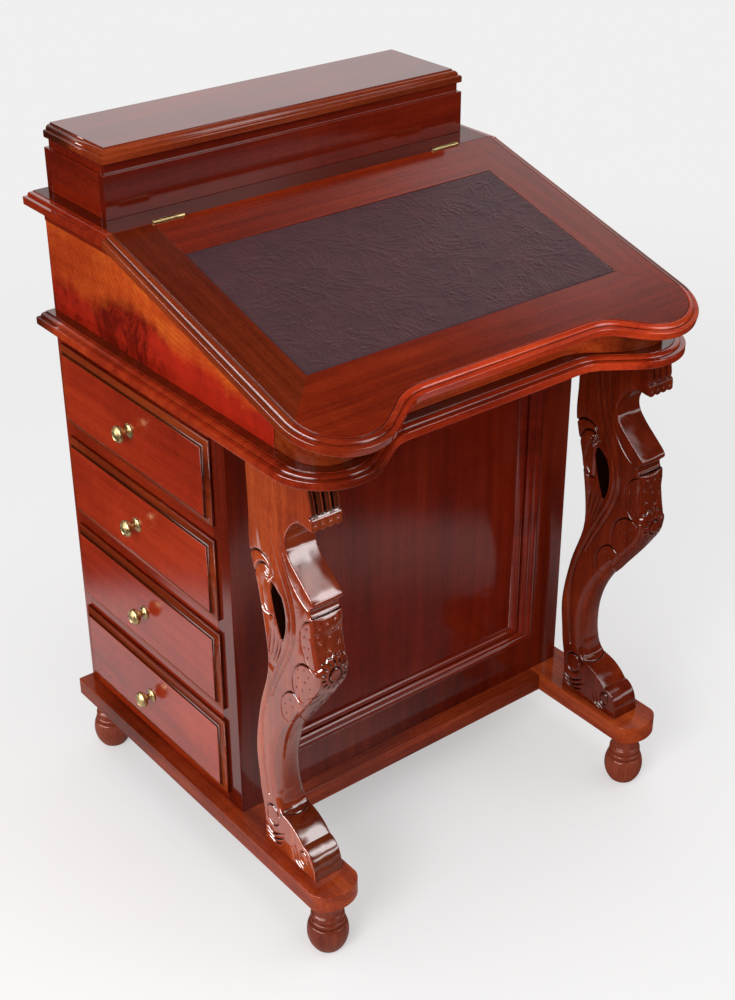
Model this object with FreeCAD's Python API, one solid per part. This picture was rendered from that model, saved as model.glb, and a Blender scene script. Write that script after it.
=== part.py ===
"""Davenport desk: a drawer pedestal on a bun-footed base, carved front supports, and a sloped
writing box with a leather-lined lid and a lidded pen box behind it.

Frame: millimetres, +Z up, origin on the floor at the centre of the desk's plan.
The sitter faces +Y, +X is to the sitter's right, and the working drawers open towards -X.
"""

import FreeCAD
import Part
import math
import os

Vector = FreeCAD.Vector

# ---------------------------------------------------------------- driving dimensions
# Heights
FOOT_HEIGHT = 76.5
RUNNER_THICK = 23.0
PEDESTAL_HEIGHT = 503.0
BOARD_THICK = 13.5                 # moulded boards: desk bottom, shelf, lid
WELL_BACK_HEIGHT = 129.4           # writing box, from its bottom board to the shelf
PEN_WALL_HEIGHT = 59.1
PEN_LID_THICK = 15.6

# Plan: half widths and depths
BACK_Y = 267.1                     # flush back of pedestal, box and shelf
HINGE_Y = 97.8                     # top edge of the writing slope
PEDESTAL_HALF = 248.7
PEDESTAL_FRONT_Y = -75.8
BOX_HALF = 247.7
NOSE_HALF = 272.0                  # moulded edge of the three boards

# Base
RUNNER_INNER_X = 205.5
RUNNER_OUTER_X = 266.5
RUNNER_BACK_Y = 272.8
RUNNER_STRAIGHT_Y = -231.6
RUNNER_END_DEPTH = 21.3
BASE_RAIL_WIDTH = 60.0
BASE_RAIL_FRONT_Y = -94.3
FOOT_X = 236.6
FOOT_Y = (-221.8, 249.4)

# Moulded edge: flat nose, small fillet step, quarter round, quirk
NOSE_FLAT = 9.5
NOSE_ROUND = 1.5
STEP_INSET = 6.0
QUIRK_INSET = 13.0
QUIRK_DEPTH = 0.8
ROUND_RADIUS = 2.6

# Serpentine fronts
SWEEP_ANGLE = 35.0                 # steepest slope of the S, in degrees
HOLLOW_SHARE = 0.43                # share of the two radii given to the inner curve

# Writing slope
SLOPE_ANGLE = 15.86
LID_GAP = 0.3                      # between the closed lid and the box under it
HINGE_GAP = 0.4
LEATHER_HALF = 209.6
LEATHER_TOP = 60.5                 # distances down the slope from the hinge line
LEATHER_BOTTOM = 277.3
LEATHER_THICK = 1.5
LEATHER_SUNK = 0.2

# Pedestal joinery
POST_WIDTH = 44.5
FRONT_POST_THICK = 29.4
BACK_POST_THICK = 18.0
FRAME_RAIL_THICK = 16.0
FRAME_RAIL_HEIGHT = 49.5
PANEL_THICK = 6.0
PANEL_SET_BACK = 7.0
PANEL_TONGUE = 8.0
BEAD_SIDE_WIDTH = 35.0
BEAD_END_WIDTH = 27.0
BEAD_PROUD = 1.6
SIDE_BOARD_THICK = 14.0

# Drawers
DRAWER_COUNT = 4
DRAWER_PITCH = 120.3
FIRST_DRAWER_Z = 165.8             # centre of the lowest front
FRONT_HEIGHT = 102.0
FRONT_LIP = 5.0                    # overlap on the rails above and below
FRONT_END_LIP = 6.0                # overlap on the posts
FRONT_PROUD = 8.0
FRONT_INNER = 12.0
FIELD_MARGIN = 10.5
FIELD_STEP = 3.5
DRAWER_RAIL_DEPTH = 40.0
DRAWER_CLEAR = 1.2
DRAWER_SIDE_THICK = 9.0
DRAWER_SIDE_HEIGHT = 84.0
DRAWER_BOTTOM_THICK = 5.0
DRAWER_BOTTOM_LIFT = 6.0
DRAWER_GROOVE = 4.0
DRAWER_LAP = 6.0
DRAWER_END_GAP = 8.0
RUNNER_STRIP_WIDTH = 16.4
KNOB_RISE = 2.0                    # knob centre above the drawer's centre
KNOB_SPINDLE_RADIUS = 2.0
KNOB_HOLE_RADIUS = 2.1

# Writing box
SIDE_THICK = 16.0
BOX_BACK_THICK = 12.0
FRONT_RAIL_INNER_Y = -165.9

# Pen box
PEN_HALF = 245.0
PEN_FRONT_Y = 132.6
PEN_BACK_Y = 257.8
PEN_WALL = 10.0
PEN_RECESS = 4.0
PEN_RECESS_HEIGHT = 10.5
PEN_LID_TOP_HALF = 236.1
PEN_LID_TOP_FRONT_Y = 142.2
PEN_LID_TOP_BACK_Y = 254.2
PEN_LID_NOSE_FRONT_Y = 132.4
PEN_LID_NOSE_BACK_Y = 256.5
PEN_LID_NOSE = 8.3

# Brass butt hinges
HINGE_IN_X = 171.8
HINGE_OUT_X = 209.4
KNUCKLE_RADIUS = 2.6
KNUCKLE_LIFT = 0.6                 # pin axis above the board surface
POCKET_RADIUS = 3.2
PIN_RADIUS = 1.0
PIN_CLEAR = 0.06
KNUCKLE_GAP = 0.3
LEAF_THICK = 1.2
LEAF_DEPTH = 11.0
SCREW_HEAD_RADIUS = 2.2
SCREW_RADIUS = 1.2
SCREW_LENGTH = 9.0
SCREW_DROP = 7.0                   # screw line below the pin axis

# Carved front supports
SUPPORT_X = 233.0
SUPPORT_THICK = 38.3

# ---------------------------------------------------------------- derived heights
RUNNER_TOP = FOOT_HEIGHT + RUNNER_THICK
PEDESTAL_TOP = RUNNER_TOP + PEDESTAL_HEIGHT
BOX_BOTTOM = PEDESTAL_TOP + BOARD_THICK
SHELF_UNDER = BOX_BOTTOM + WELL_BACK_HEIGHT
SHELF_TOP = SHELF_UNDER + BOARD_THICK
PEN_WALL_TOP = SHELF_TOP + PEN_WALL_HEIGHT
PEN_LID_BOTTOM = PEN_WALL_TOP + LID_GAP
SLOPE = math.tan(math.radians(SLOPE_ANGLE))
LID_DROP = BOARD_THICK / math.cos(math.radians(SLOPE_ANGLE))
OPENING_FRONT_Y = PEDESTAL_FRONT_Y + FRONT_POST_THICK
OPENING_BACK_Y = BACK_Y - BACK_POST_THICK
OPENING_HALF_HEIGHT = FRONT_HEIGHT / 2 - FRONT_LIP


# ---------------------------------------------------------------- shape helpers
def block(x0, x1, y0, y1, z0, z1):
    """Rectangular block between two opposite corners."""
    return Part.makeBox(x1 - x0, y1 - y0, z1 - z0, Vector(x0, y0, z0))


def cylinder(start, direction, radius, length):
    """Round bar from a start point along a direction."""
    return Part.makeCylinder(radius, length, Vector(*start), Vector(*direction))


def polygon(points):
    """Closed planar face through 3-D points."""
    corners = [Vector(*p) for p in points]
    return Part.Face(Part.makePolygon(corners + corners[:1]))


def prism(points, direction):
    """Polygon extruded along a direction."""
    return polygon(points).extrude(Vector(*direction))


def line(a, b):
    """Straight edge."""
    return Part.LineSegment(Vector(*a), Vector(*b)).toShape()


def arc(a, through, b):
    """Circular arc through three points."""
    return Part.Arc(Vector(*a), Vector(*through), Vector(*b)).toShape()


def curve(points):
    """Smooth curve through the points."""
    spline = Part.BSplineCurve()
    spline.interpolate([Vector(*p) for p in points])
    return spline.toShape()


def turned(edges):
    """Solid of revolution about Z from profile edges in the XZ plane, ends on the axis."""
    start = edges[0].Vertexes[0].Point
    end = edges[-1].Vertexes[-1].Point
    face = Part.Face(Part.Wire(edges + [Part.LineSegment(end, start).toShape()]))
    return face.revolve(Vector(0, 0, 0), Vector(0, 0, 1), 360)


def mirrored_x(shape):
    """Copy of a shape on the other side of the desk's centre plane."""
    return shape.mirror(Vector(0, 0, 0), Vector(1, 0, 0))


def save(name, *solids):
    """Write one named sub-part, made of one or more separate solids."""
    shape = solids[0] if len(solids) == 1 else Part.makeCompound(list(solids))
    shape.exportStep(os.path.join("parts", name + ".step"))


def rounded_edges(solid, radius, wanted):
    """Fillet the edges of a solid that a test accepts."""
    edges = [e for e in solid.Edges if wanted(e)]
    return solid.makeFillet(radius, edges)


# ---------------------------------------------------------------- serpentine boards
class Serpentine:
    """Plan outline of a board with a serpentine front, drawn in the XY plane.

    The front has a straight middle, an S sweep to a forward bulge at each side and a quarter-round
    corner. `outset` grows the whole outline evenly.
    """

    def __init__(self, middle_y, bulge_y, middle_half, bulge_x, side_x, back_y):
        self.middle_y = middle_y
        self.bulge_y = bulge_y
        self.middle_half = middle_half
        self.bulge_x = bulge_x
        self.side_x = side_x
        self.back_y = back_y

    def face(self, z, outset=0.0):
        """Closed face at a height, grown outward by `outset` on the front and sides."""
        angle = math.radians(SWEEP_ANGLE)
        run = self.bulge_x - self.middle_half
        drop = self.middle_y - self.bulge_y
        radii = (run * math.tan(angle) - drop) / (1 / math.cos(angle) - 1)
        hollow = HOLLOW_SHARE * radii - outset
        swell = (1 - HOLLOW_SHARE) * radii + outset
        middle_y = self.middle_y - outset
        bulge_y = self.bulge_y - outset
        side_x = self.side_x + outset
        corner = side_x - self.bulge_x
        corner_y = bulge_y + corner

        def on_hollow(turn):
            return (self.middle_half + hollow * math.sin(turn),
                    middle_y - hollow * (1 - math.cos(turn)), z)

        def on_swell(turn):
            return (self.bulge_x - swell * math.sin(turn),
                    bulge_y + swell * (1 - math.cos(turn)), z)

        def on_corner(turn):
            return (self.bulge_x + corner * math.sin(turn),
                    corner_y - corner * math.cos(turn), z)

        quarter = math.pi / 2
        right = [
            arc(on_hollow(0), on_hollow(angle / 2), on_hollow(angle)),
            line(on_hollow(angle), on_swell(angle)),
            arc(on_swell(angle), on_swell(angle / 2), on_swell(0)),
            arc(on_corner(0), on_corner(quarter / 2), on_corner(quarter)),
            line(on_corner(quarter), (side_x, self.back_y, z)),
        ]
        left = [mirrored_x(edge) for edge in right]
        middle = line((-self.middle_half, middle_y, z), (self.middle_half, middle_y, z))
        back = line((-side_x, self.back_y, z), (side_x, self.back_y, z))
        loop = Part.Wire(Part.__sortEdges__(right + left + [middle, back]))
        return Part.Face(loop)


def moulded_board(face_at, bottom, back_y):
    """Board with a moulded edge on its front and sides.

    `face_at(z, inset)` returns the outline, drawn in from the nose by `inset`, at height z.
    The back edge at `back_y` stays square.
    """
    top = bottom + BOARD_THICK
    step_z = bottom + NOSE_FLAT
    quirk_z = top - QUIRK_DEPTH

    def edge_at(z):
        def test(edge):
            box = edge.BoundBox
            flat = box.ZLength < 1e-6 and abs(box.ZMin - z) < 1e-6
            return flat and not (box.YLength < 1e-6 and abs(box.YMin - back_y) < 1e-6)
        return test

    nose = face_at(bottom, 0.0).extrude(Vector(0, 0, NOSE_FLAT))
    nose = rounded_edges(nose, NOSE_ROUND, edge_at(bottom))
    swell = face_at(step_z, STEP_INSET).extrude(Vector(0, 0, quirk_z - step_z))
    swell = rounded_edges(swell, ROUND_RADIUS, edge_at(quirk_z))
    crown = face_at(quirk_z, QUIRK_INSET).extrude(Vector(0, 0, QUIRK_DEPTH))
    return nose.fuse([swell, crown]).removeSplitter()


def to_slope(shape):
    """Move a shape drawn flat (lid top at z 0, hinge line at y 0) onto the writing slope."""
    placed = shape.copy()
    placed.rotate(Vector(0, 0, 0), Vector(1, 0, 0), SLOPE_ANGLE)
    placed.translate(Vector(0, HINGE_Y, SHELF_TOP))
    return placed


# ---------------------------------------------------------------- base
def runner():
    """Right-hand base runner with a rounded front end."""
    centre = (RUNNER_INNER_X + RUNNER_OUTER_X) / 2
    half = (RUNNER_OUTER_X - RUNNER_INNER_X) / 2
    z = FOOT_HEIGHT
    oval = Part.Ellipse(Vector(centre, RUNNER_STRAIGHT_Y, z), half, RUNNER_END_DEPTH)
    nose = oval.toShape(math.pi, 2 * math.pi)
    loop = [
        nose,
        line((RUNNER_OUTER_X, RUNNER_STRAIGHT_Y, z), (RUNNER_OUTER_X, RUNNER_BACK_Y, z)),
        line((RUNNER_OUTER_X, RUNNER_BACK_Y, z), (RUNNER_INNER_X, RUNNER_BACK_Y, z)),
        line((RUNNER_INNER_X, RUNNER_BACK_Y, z), (RUNNER_INNER_X, RUNNER_STRAIGHT_Y, z)),
    ]
    face = Part.Face(Part.Wire(Part.__sortEdges__(loop)))
    return face.extrude(Vector(0, 0, RUNNER_THICK))


def bun_foot(x, y):
    """Turned foot: flattened ball, thin ring, bead and flared neck."""
    profile = [
        line((0, 0, 0), (18.5, 0, 0)),
        arc((18.5, 0, 0), (24.1, 0, 16.0), (18.5, 0, 33.5)),
        line((18.5, 0, 33.5), (17.5, 0, 34.5)),
        arc((17.5, 0, 34.5), (20.2, 0, 37.2), (18.0, 0, 40.0)),
        line((18.0, 0, 40.0), (16.8, 0, 41.5)),
        arc((16.8, 0, 41.5), (19.8, 0, 46.5), (17.5, 0, 52.0)),
        arc((17.5, 0, 52.0), (16.0, 0, 61.0), (20.0, 0, 70.0)),
        line((20.0, 0, 70.0), (21.5, 0, 71.5)),
        line((21.5, 0, 71.5), (21.5, 0, FOOT_HEIGHT)),
        line((21.5, 0, FOOT_HEIGHT), (0, 0, FOOT_HEIGHT)),
    ]
    foot = turned(profile)
    foot.translate(Vector(x, y, 0))
    return foot


def build_base():
    """Runners, cross rails and the four bun feet."""
    right = runner()
    save("runner_right", right)
    save("runner_left", mirrored_x(right))
    save("base_rails", *[
        block(-RUNNER_INNER_X, RUNNER_INNER_X, y, y + BASE_RAIL_WIDTH, FOOT_HEIGHT, RUNNER_TOP)
        for y in (BASE_RAIL_FRONT_Y, RUNNER_BACK_Y - BASE_RAIL_WIDTH)])
    feet = [bun_foot(side * FOOT_X, y) for side in (-1, 1) for y in FOOT_Y]
    save("bun_feet", *feet)


# ---------------------------------------------------------------- pedestal
def frame_and_panel(outer_y, post_thick, facing):
    """Frame with a grooved-in panel; `facing` is -1 for the front and +1 for the back.

    Returns posts, rails and the panel.
    """
    inner_x = PEDESTAL_HALF - POST_WIDTH

    def span(depth0, depth1):
        a = outer_y - facing * depth0
        b = outer_y - facing * depth1
        return min(a, b), max(a, b)

    panel_y = span(PANEL_SET_BACK, PANEL_SET_BACK + PANEL_THICK)
    low = RUNNER_TOP + FRAME_RAIL_HEIGHT
    high = PEDESTAL_TOP - FRAME_RAIL_HEIGHT
    panel = block(-inner_x - PANEL_TONGUE, inner_x + PANEL_TONGUE, *panel_y,
                  low - PANEL_TONGUE, high + PANEL_TONGUE)
    posts = [block(x0, x0 + POST_WIDTH, *span(0, post_thick), RUNNER_TOP, PEDESTAL_TOP).cut(panel)
             for x0 in (-PEDESTAL_HALF, inner_x)]
    rails = [block(-inner_x, inner_x, *span(0, FRAME_RAIL_THICK), z0, z1).cut(panel)
             for z0, z1 in ((RUNNER_TOP, low), (high, PEDESTAL_TOP))]
    return posts, rails, panel


def bead_frame():
    """Four mitred moulding strips round the knee-side panel, two beads with a groove between."""
    face_y = PEDESTAL_FRONT_Y + PANEL_SET_BACK
    crest_y = PEDESTAL_FRONT_Y - BEAD_PROUD
    half = PEDESTAL_HALF - POST_WIDTH
    low = RUNNER_TOP + FRAME_RAIL_HEIGHT
    high = PEDESTAL_TOP - FRAME_RAIL_HEIGHT

    def section(width, place):
        """Moulding face; `place(across, y)` gives the point that far in from the frame edge."""
        outer = width * 0.6
        groove = outer + 2.5
        mid_y = (face_y + crest_y) / 2
        edges = [
            line(place(0, face_y), place(0, crest_y + 2.0)),
            arc(place(0, crest_y + 2.0), place(outer * 0.25, crest_y), place(outer * 0.5, crest_y + 2.0)),
            arc(place(outer * 0.5, crest_y + 2.0), place(outer * 0.75, crest_y + 0.8),
                place(outer, mid_y - 1.0)),
            line(place(outer, mid_y - 1.0), place(outer, face_y - 1.0)),
            line(place(outer, face_y - 1.0), place(groove, face_y - 1.0)),
            line(place(groove, face_y - 1.0), place(groove, mid_y)),
            arc(place(groove, mid_y), place((groove + width) / 2, mid_y - 1.2), place(width, face_y - 1.0)),
            line(place(width, face_y - 1.0), place(width, face_y)),
            line(place(width, face_y), place(0, face_y)),
        ]
        return Part.Face(Part.Wire(edges))

    span_y = 40.0
    inner_low = low + BEAD_END_WIDTH
    inner_high = high - BEAD_END_WIDTH
    inner_half = half - BEAD_SIDE_WIDTH
    upright = section(BEAD_SIDE_WIDTH, lambda a, y: (half - a, y, low)).extrude(Vector(0, 0, high - low))
    upright_zone = prism([(half, -span_y, low), (inner_half, -span_y, inner_low),
                          (inner_half, -span_y, inner_high), (half, -span_y, high)], (0, -60, 0))
    across = section(BEAD_END_WIDTH, lambda a, y: (-half, y, low + a)).extrude(Vector(2 * half, 0, 0))
    across_zone = prism([(-half, -span_y, low), (-inner_half, -span_y, inner_low),
                         (inner_half, -span_y, inner_low), (half, -span_y, low)], (0, -60, 0))
    right = upright.common(upright_zone)
    bottom = across.common(across_zone)
    top = bottom.mirror(Vector(0, 0, (low + high) / 2), Vector(0, 0, 1))
    return [right, mirrored_x(right), bottom, top]


def drawer_levels():
    """Centre height of each drawer, lowest first."""
    return [FIRST_DRAWER_Z + i * DRAWER_PITCH for i in range(DRAWER_COUNT)]


def divider_spans():
    """Height spans of the rails below, between and above the drawers."""
    levels = drawer_levels()
    lows = [RUNNER_TOP] + [z + OPENING_HALF_HEIGHT for z in levels]
    highs = [z - OPENING_HALF_HEIGHT for z in levels] + [PEDESTAL_TOP]
    return list(zip(lows, highs))


def build_pedestal():
    """Framed front and back, drawer-side rails, inner runners and the blind right side."""
    posts, rails, panel = frame_and_panel(PEDESTAL_FRONT_Y, FRONT_POST_THICK, -1)
    save("pedestal_front_frame", *posts, *rails)
    save("pedestal_front_panel", panel)
    save("pedestal_front_beads", *bead_frame())

    posts, rails, panel = frame_and_panel(BACK_Y, BACK_POST_THICK, 1)
    save("pedestal_back_frame", *posts, *rails)
    save("pedestal_back_panel", panel)

    rail_back_x = -PEDESTAL_HALF + DRAWER_RAIL_DEPTH
    side_inner_x = PEDESTAL_HALF - SIDE_BOARD_THICK
    save("drawer_rails", *[
        block(-PEDESTAL_HALF, rail_back_x, OPENING_FRONT_Y, OPENING_BACK_Y, z0, z1)
        for z0, z1 in divider_spans()])
    save("drawer_runners", *[
        block(rail_back_x, side_inner_x, y, y + RUNNER_STRIP_WIDTH, z0, z1)
        for z0, z1 in divider_spans()
        for y in (OPENING_FRONT_Y, OPENING_BACK_Y - RUNNER_STRIP_WIDTH)])
    side = block(side_inner_x, PEDESTAL_HALF, OPENING_FRONT_Y, OPENING_BACK_Y, RUNNER_TOP, PEDESTAL_TOP)
    holes = [mirrored_x(spindle_hole(z)) for z in drawer_levels()]
    save("pedestal_right_side", side.cut(holes))


# ---------------------------------------------------------------- drawers
def front_slab(z):
    """Lipped drawer face with a raised flat field, standing proud of the left side."""
    y0 = OPENING_FRONT_Y - FRONT_END_LIP
    y1 = OPENING_BACK_Y + FRONT_END_LIP
    z0 = z - FRONT_HEIGHT / 2
    z1 = z + FRONT_HEIGHT / 2
    back_x = -PEDESTAL_HALF
    edge_x = back_x - (FRONT_PROUD - FIELD_STEP)
    face_x = back_x - FRONT_PROUD
    lip = block(edge_x, back_x, y0, y1, z0, z1)
    m = FIELD_MARGIN
    field = block(face_x, edge_x, y0 + m, y1 - m, z0 + m, z1 - m)
    foot = m - FIELD_STEP * 1.5

    def ring(x, inset):
        return Part.makePolygon([Vector(x, a, b) for a, b in (
            (y0 + inset, z0 + inset), (y1 - inset, z0 + inset), (y1 - inset, z1 - inset),
            (y0 + inset, z1 - inset), (y0 + inset, z0 + inset))])

    bevel = Part.makeLoft([ring(edge_x, foot), ring(face_x + 1.0, m - 1.0)], True, True)
    return lip.fuse([bevel, field]).removeSplitter()


def knob(x, y, z):
    """Turned brass knob on a rose, pointing to -X from a face at x, with its spindle behind."""
    spindle = FRONT_PROUD + FRONT_INNER - 2.0
    rim_x, rim_z, crown_z = 6.6, 18.4, 19.7
    rise = crown_z - rim_z
    dome = (rim_x ** 2 + rise ** 2) / (2 * rise)
    mid_z = crown_z - dome + math.sqrt(dome ** 2 - (rim_x / 2) ** 2)
    profile = [
        line((0, 0, -spindle), (KNOB_SPINDLE_RADIUS, 0, -spindle)),
        line((KNOB_SPINDLE_RADIUS, 0, -spindle), (KNOB_SPINDLE_RADIUS, 0, 0)),
        line((KNOB_SPINDLE_RADIUS, 0, 0), (8.75, 0, 0)),
        line((8.75, 0, 0), (8.75, 0, 0.8)),
        arc((8.75, 0, 0.8), (6.6, 0, 2.2), (4.4, 0, 2.6)),
        arc((4.4, 0, 2.6), (3.5, 0, 5.6), (4.6, 0, 8.6)),
        arc((4.6, 0, 8.6), (10.0, 0, 14.0), (rim_x, 0, rim_z)),
        arc((rim_x, 0, rim_z), (rim_x / 2, 0, mid_z), (0, 0, crown_z)),
    ]
    shape = turned(profile)
    shape.rotate(Vector(0, 0, 0), Vector(0, 1, 0), -90)
    shape.translate(Vector(x, y, z))
    return shape


def knob_place(z):
    """Centre of a knob's seat on the left-hand side."""
    return -PEDESTAL_HALF - FRONT_PROUD, (OPENING_FRONT_Y + OPENING_BACK_Y) / 2, z + KNOB_RISE


def spindle_hole(z):
    """Clearance hole for a knob's spindle."""
    x, y, knob_z = knob_place(z)
    return cylinder((x - 1, y, knob_z), (1, 0, 0), KNOB_HOLE_RADIUS, FRONT_PROUD + FRONT_INNER + 2)


def build_drawer(number, z):
    """One drawer: lipped front, lapped sides, back, grooved bottom and its knob."""
    y0 = OPENING_FRONT_Y + DRAWER_CLEAR
    y1 = OPENING_BACK_Y - DRAWER_CLEAR
    z0 = z - OPENING_HALF_HEIGHT + 0.4
    front_back_x = -PEDESTAL_HALF + FRONT_INNER
    end_x = PEDESTAL_HALF - SIDE_BOARD_THICK - DRAWER_END_GAP
    side_x = front_back_x - DRAWER_LAP
    side_top = z0 + DRAWER_SIDE_HEIGHT
    t = DRAWER_SIDE_THICK

    bottom_z = z0 + DRAWER_BOTTOM_LIFT
    groove = DRAWER_GROOVE
    bottom = block(front_back_x - groove, end_x, y0 + t - groove, y1 - t + groove,
                   bottom_z, bottom_z + DRAWER_BOTTOM_THICK)
    sides = [block(side_x, end_x, a, a + t, z0, side_top).cut(bottom) for a in (y0, y1 - t)]
    back = block(end_x - t, end_x, y0 + t, y1 - t, bottom_z + DRAWER_BOTTOM_THICK, side_top - 6.0)
    tenon = block(-PEDESTAL_HALF, front_back_x, y0, y1, z0, z + OPENING_HALF_HEIGHT - DRAWER_CLEAR)
    front = front_slab(z).fuse(tenon).cut(sides + [bottom, spindle_hole(z)]).removeSplitter()

    name = "drawer_%d_" % number
    save(name + "front", front)
    save(name + "sides", *sides)
    save(name + "back", back)
    save(name + "bottom", bottom)
    save(name + "knob", knob(*knob_place(z)))


def build_drawers():
    """Working drawers, numbered from the top, and the matching blind fronts on the right."""
    levels = drawer_levels()
    for index, z in enumerate(reversed(levels)):
        build_drawer(index + 1, z)
    save("blind_fronts", *[mirrored_x(front_slab(z).cut(spindle_hole(z))) for z in levels])
    save("blind_knobs", *[mirrored_x(knob(*knob_place(z))) for z in levels])


# ---------------------------------------------------------------- carved supports
def support_outline():
    """Side outline of a carved front support, as edges in the YZ plane."""
    def at(points):
        return [(0, y, z) for y, z in points]

    head = [(-219.9, PEDESTAL_TOP), (-227.0, 576.0), (-229.4, 550.5)]
    hollow = [(-219.9, 552.0), (-209.0, 552.5), (-192.8, 541.1), (-182.8, 524.0), (-184.4, 514.0)]
    plate_nose = [(-184.4, 514.0), (-227.4, 473.0), (-224.4, 461.5), (-222.0, 457.5),
                  (-226.2, 448.5)]
    knee = [(-226.2, 448.5), (-226.6, 427.0), (-234.6, 388.0), (-221.4, 354.0), (-185.9, 306.5),
            (-157.9, 256.5), (-149.3, 207.0), (-153.6, 167.0), (-158.9, 156.5)]
    instep = [(-158.9, 156.5), (-180.5, 149.0), (-197.8, 136.5)]
    toe = [(-203.3, 134.5), (-215.8, 122.9), (-220.9, RUNNER_TOP)]
    back = [(-126.9, RUNNER_TOP), (-127.4, 135.0), (-117.9, 187.0), (-114.6, 228.0),
            (-124.6, 287.0), (-143.4, 352.0), (-134.4, 430.0), (-120.6, 485.0),
            (-120.6, 530.0), (-118.4, PEDESTAL_TOP)]
    edges = [arc(*at(head)), line(*at([head[-1], hollow[0]])), curve(at(hollow))]
    edges += [line(*at(pair)) for pair in zip(plate_nose, plate_nose[1:])]
    edges += [curve(at(knee)), arc(*at(instep)), line(*at([instep[-1], toe[0]])), arc(*at(toe)),
              line(*at([toe[-1], back[0]])), curve(at(back)), line(*at([back[-1], head[0]]))]
    return edges


def support_slot():
    """Edges of the pierced opening behind the knee."""
    def at(points):
        return [(0, y, z) for y, z in points]

    front = [(-156.4, 459.0), (-172.0, 449.0), (-178.4, 425.0), (-171.9, 399.0)]
    hook = [(-171.9, 399.0), (-165.5, 418.0), (-154.4, 419.5)]
    back = [(-154.4, 419.5), (-152.6, 436.0), (-156.4, 459.0)]
    return [curve(at(front)), arc(*at(hook)), arc(*at(back))]


def build_supports():
    """The pair of carved supports under the front of the writing box."""
    body = Part.Face(Part.Wire(support_outline())).extrude(Vector(SUPPORT_THICK, 0, 0))
    slot = Part.Face(Part.Wire(support_slot())).extrude(Vector(SUPPORT_THICK, 0, 0))
    right = body.cut(slot)
    right.translate(Vector(SUPPORT_X - SUPPORT_THICK / 2, 0, 0))
    save("support_right", right)
    save("support_left", mirrored_x(right))


# ---------------------------------------------------------------- writing box
def lid_underside(y):
    """Height of the closed lid's underside at a depth y."""
    return SHELF_TOP - (HINGE_Y - y) * SLOPE - LID_DROP


def hinge_pockets(axis_y, axis_z):
    """Round clearance for the hinge knuckles, on both sides of the desk."""
    length = HINGE_OUT_X - HINGE_IN_X + 1.0
    return [cylinder((x, axis_y, axis_z), (1, 0, 0), POCKET_RADIUS, length)
            for x in (HINGE_IN_X - 0.5, -HINGE_OUT_X - 0.5)]


def build_writing_box():
    """Moulded bottom board, sides, back, serpentine front rail and the pen-box shelf."""
    nose = Serpentine(-215.4, -256.9, 118.0, 211.0, NOSE_HALF, BACK_Y)
    save("desk_bottom_board",
         moulded_board(lambda z, inset: nose.face(z, -inset), PEDESTAL_TOP, BACK_Y))

    inner_x = BOX_HALF - SIDE_THICK
    side_outline = [(inner_x, FRONT_RAIL_INNER_Y, BOX_BOTTOM), (inner_x, BACK_Y, BOX_BOTTOM),
                    (inner_x, BACK_Y, SHELF_UNDER), (inner_x, HINGE_Y, SHELF_UNDER),
                    (inner_x, HINGE_Y, lid_underside(HINGE_Y) - LID_GAP),
                    (inner_x, FRONT_RAIL_INNER_Y, lid_underside(FRONT_RAIL_INNER_Y) - LID_GAP)]
    side = prism(side_outline, (SIDE_THICK, 0, 0))
    save("desk_side_right", side)
    save("desk_side_left", mirrored_x(side))
    save("desk_back", block(-inner_x, inner_x, BACK_Y - BOX_BACK_THICK, BACK_Y,
                            BOX_BOTTOM, SHELF_UNDER))

    body = Serpentine(-189.9, -231.4, 108.0, 211.0, BOX_HALF, FRONT_RAIL_INNER_Y)
    rail = body.face(BOX_BOTTOM).extrude(Vector(0, 0, WELL_BACK_HEIGHT))
    far_y = -300.0
    above = prism([(-300, far_y, lid_underside(far_y) - LID_GAP), (-300, 0, lid_underside(0) - LID_GAP),
                   (-300, 0, SHELF_TOP), (-300, far_y, SHELF_TOP)], (600, 0, 0))
    save("desk_front_rail", rail.cut(above))

    def shelf_face(z, inset):
        half = NOSE_HALF - inset
        return polygon([(-half, HINGE_Y, z), (half, HINGE_Y, z), (half, BACK_Y, z), (-half, BACK_Y, z)])

    build_shelf(shelf_face)


def build_shelf(shelf_face):
    """Shelf under the pen box, moulded on its two ends, square at hinge line and back."""
    step_z = SHELF_UNDER + NOSE_FLAT
    quirk_z = SHELF_TOP - QUIRK_DEPTH

    def end_edge(z):
        def test(edge):
            box = edge.BoundBox
            return box.XLength < 1e-6 and box.ZLength < 1e-6 and abs(box.ZMin - z) < 1e-6
        return test

    nose = shelf_face(SHELF_UNDER, 0).extrude(Vector(0, 0, NOSE_FLAT))
    nose = rounded_edges(nose, NOSE_ROUND, end_edge(SHELF_UNDER))
    swell = shelf_face(step_z, STEP_INSET).extrude(Vector(0, 0, quirk_z - step_z))
    swell = rounded_edges(swell, ROUND_RADIUS, end_edge(quirk_z))
    crown = shelf_face(quirk_z, QUIRK_INSET).extrude(Vector(0, 0, QUIRK_DEPTH))
    shelf = nose.fuse([swell, crown]).removeSplitter()
    fixed = lid_hinge_side(1)
    shelf = shelf.cut(hinge_pockets(HINGE_Y, SHELF_TOP + KNUCKLE_LIFT))
    shelf = shelf.cut([leaf for leaf, _ in fixed] + [s for _, screws in fixed for s in screws])
    save("shelf_board", shelf)


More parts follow.
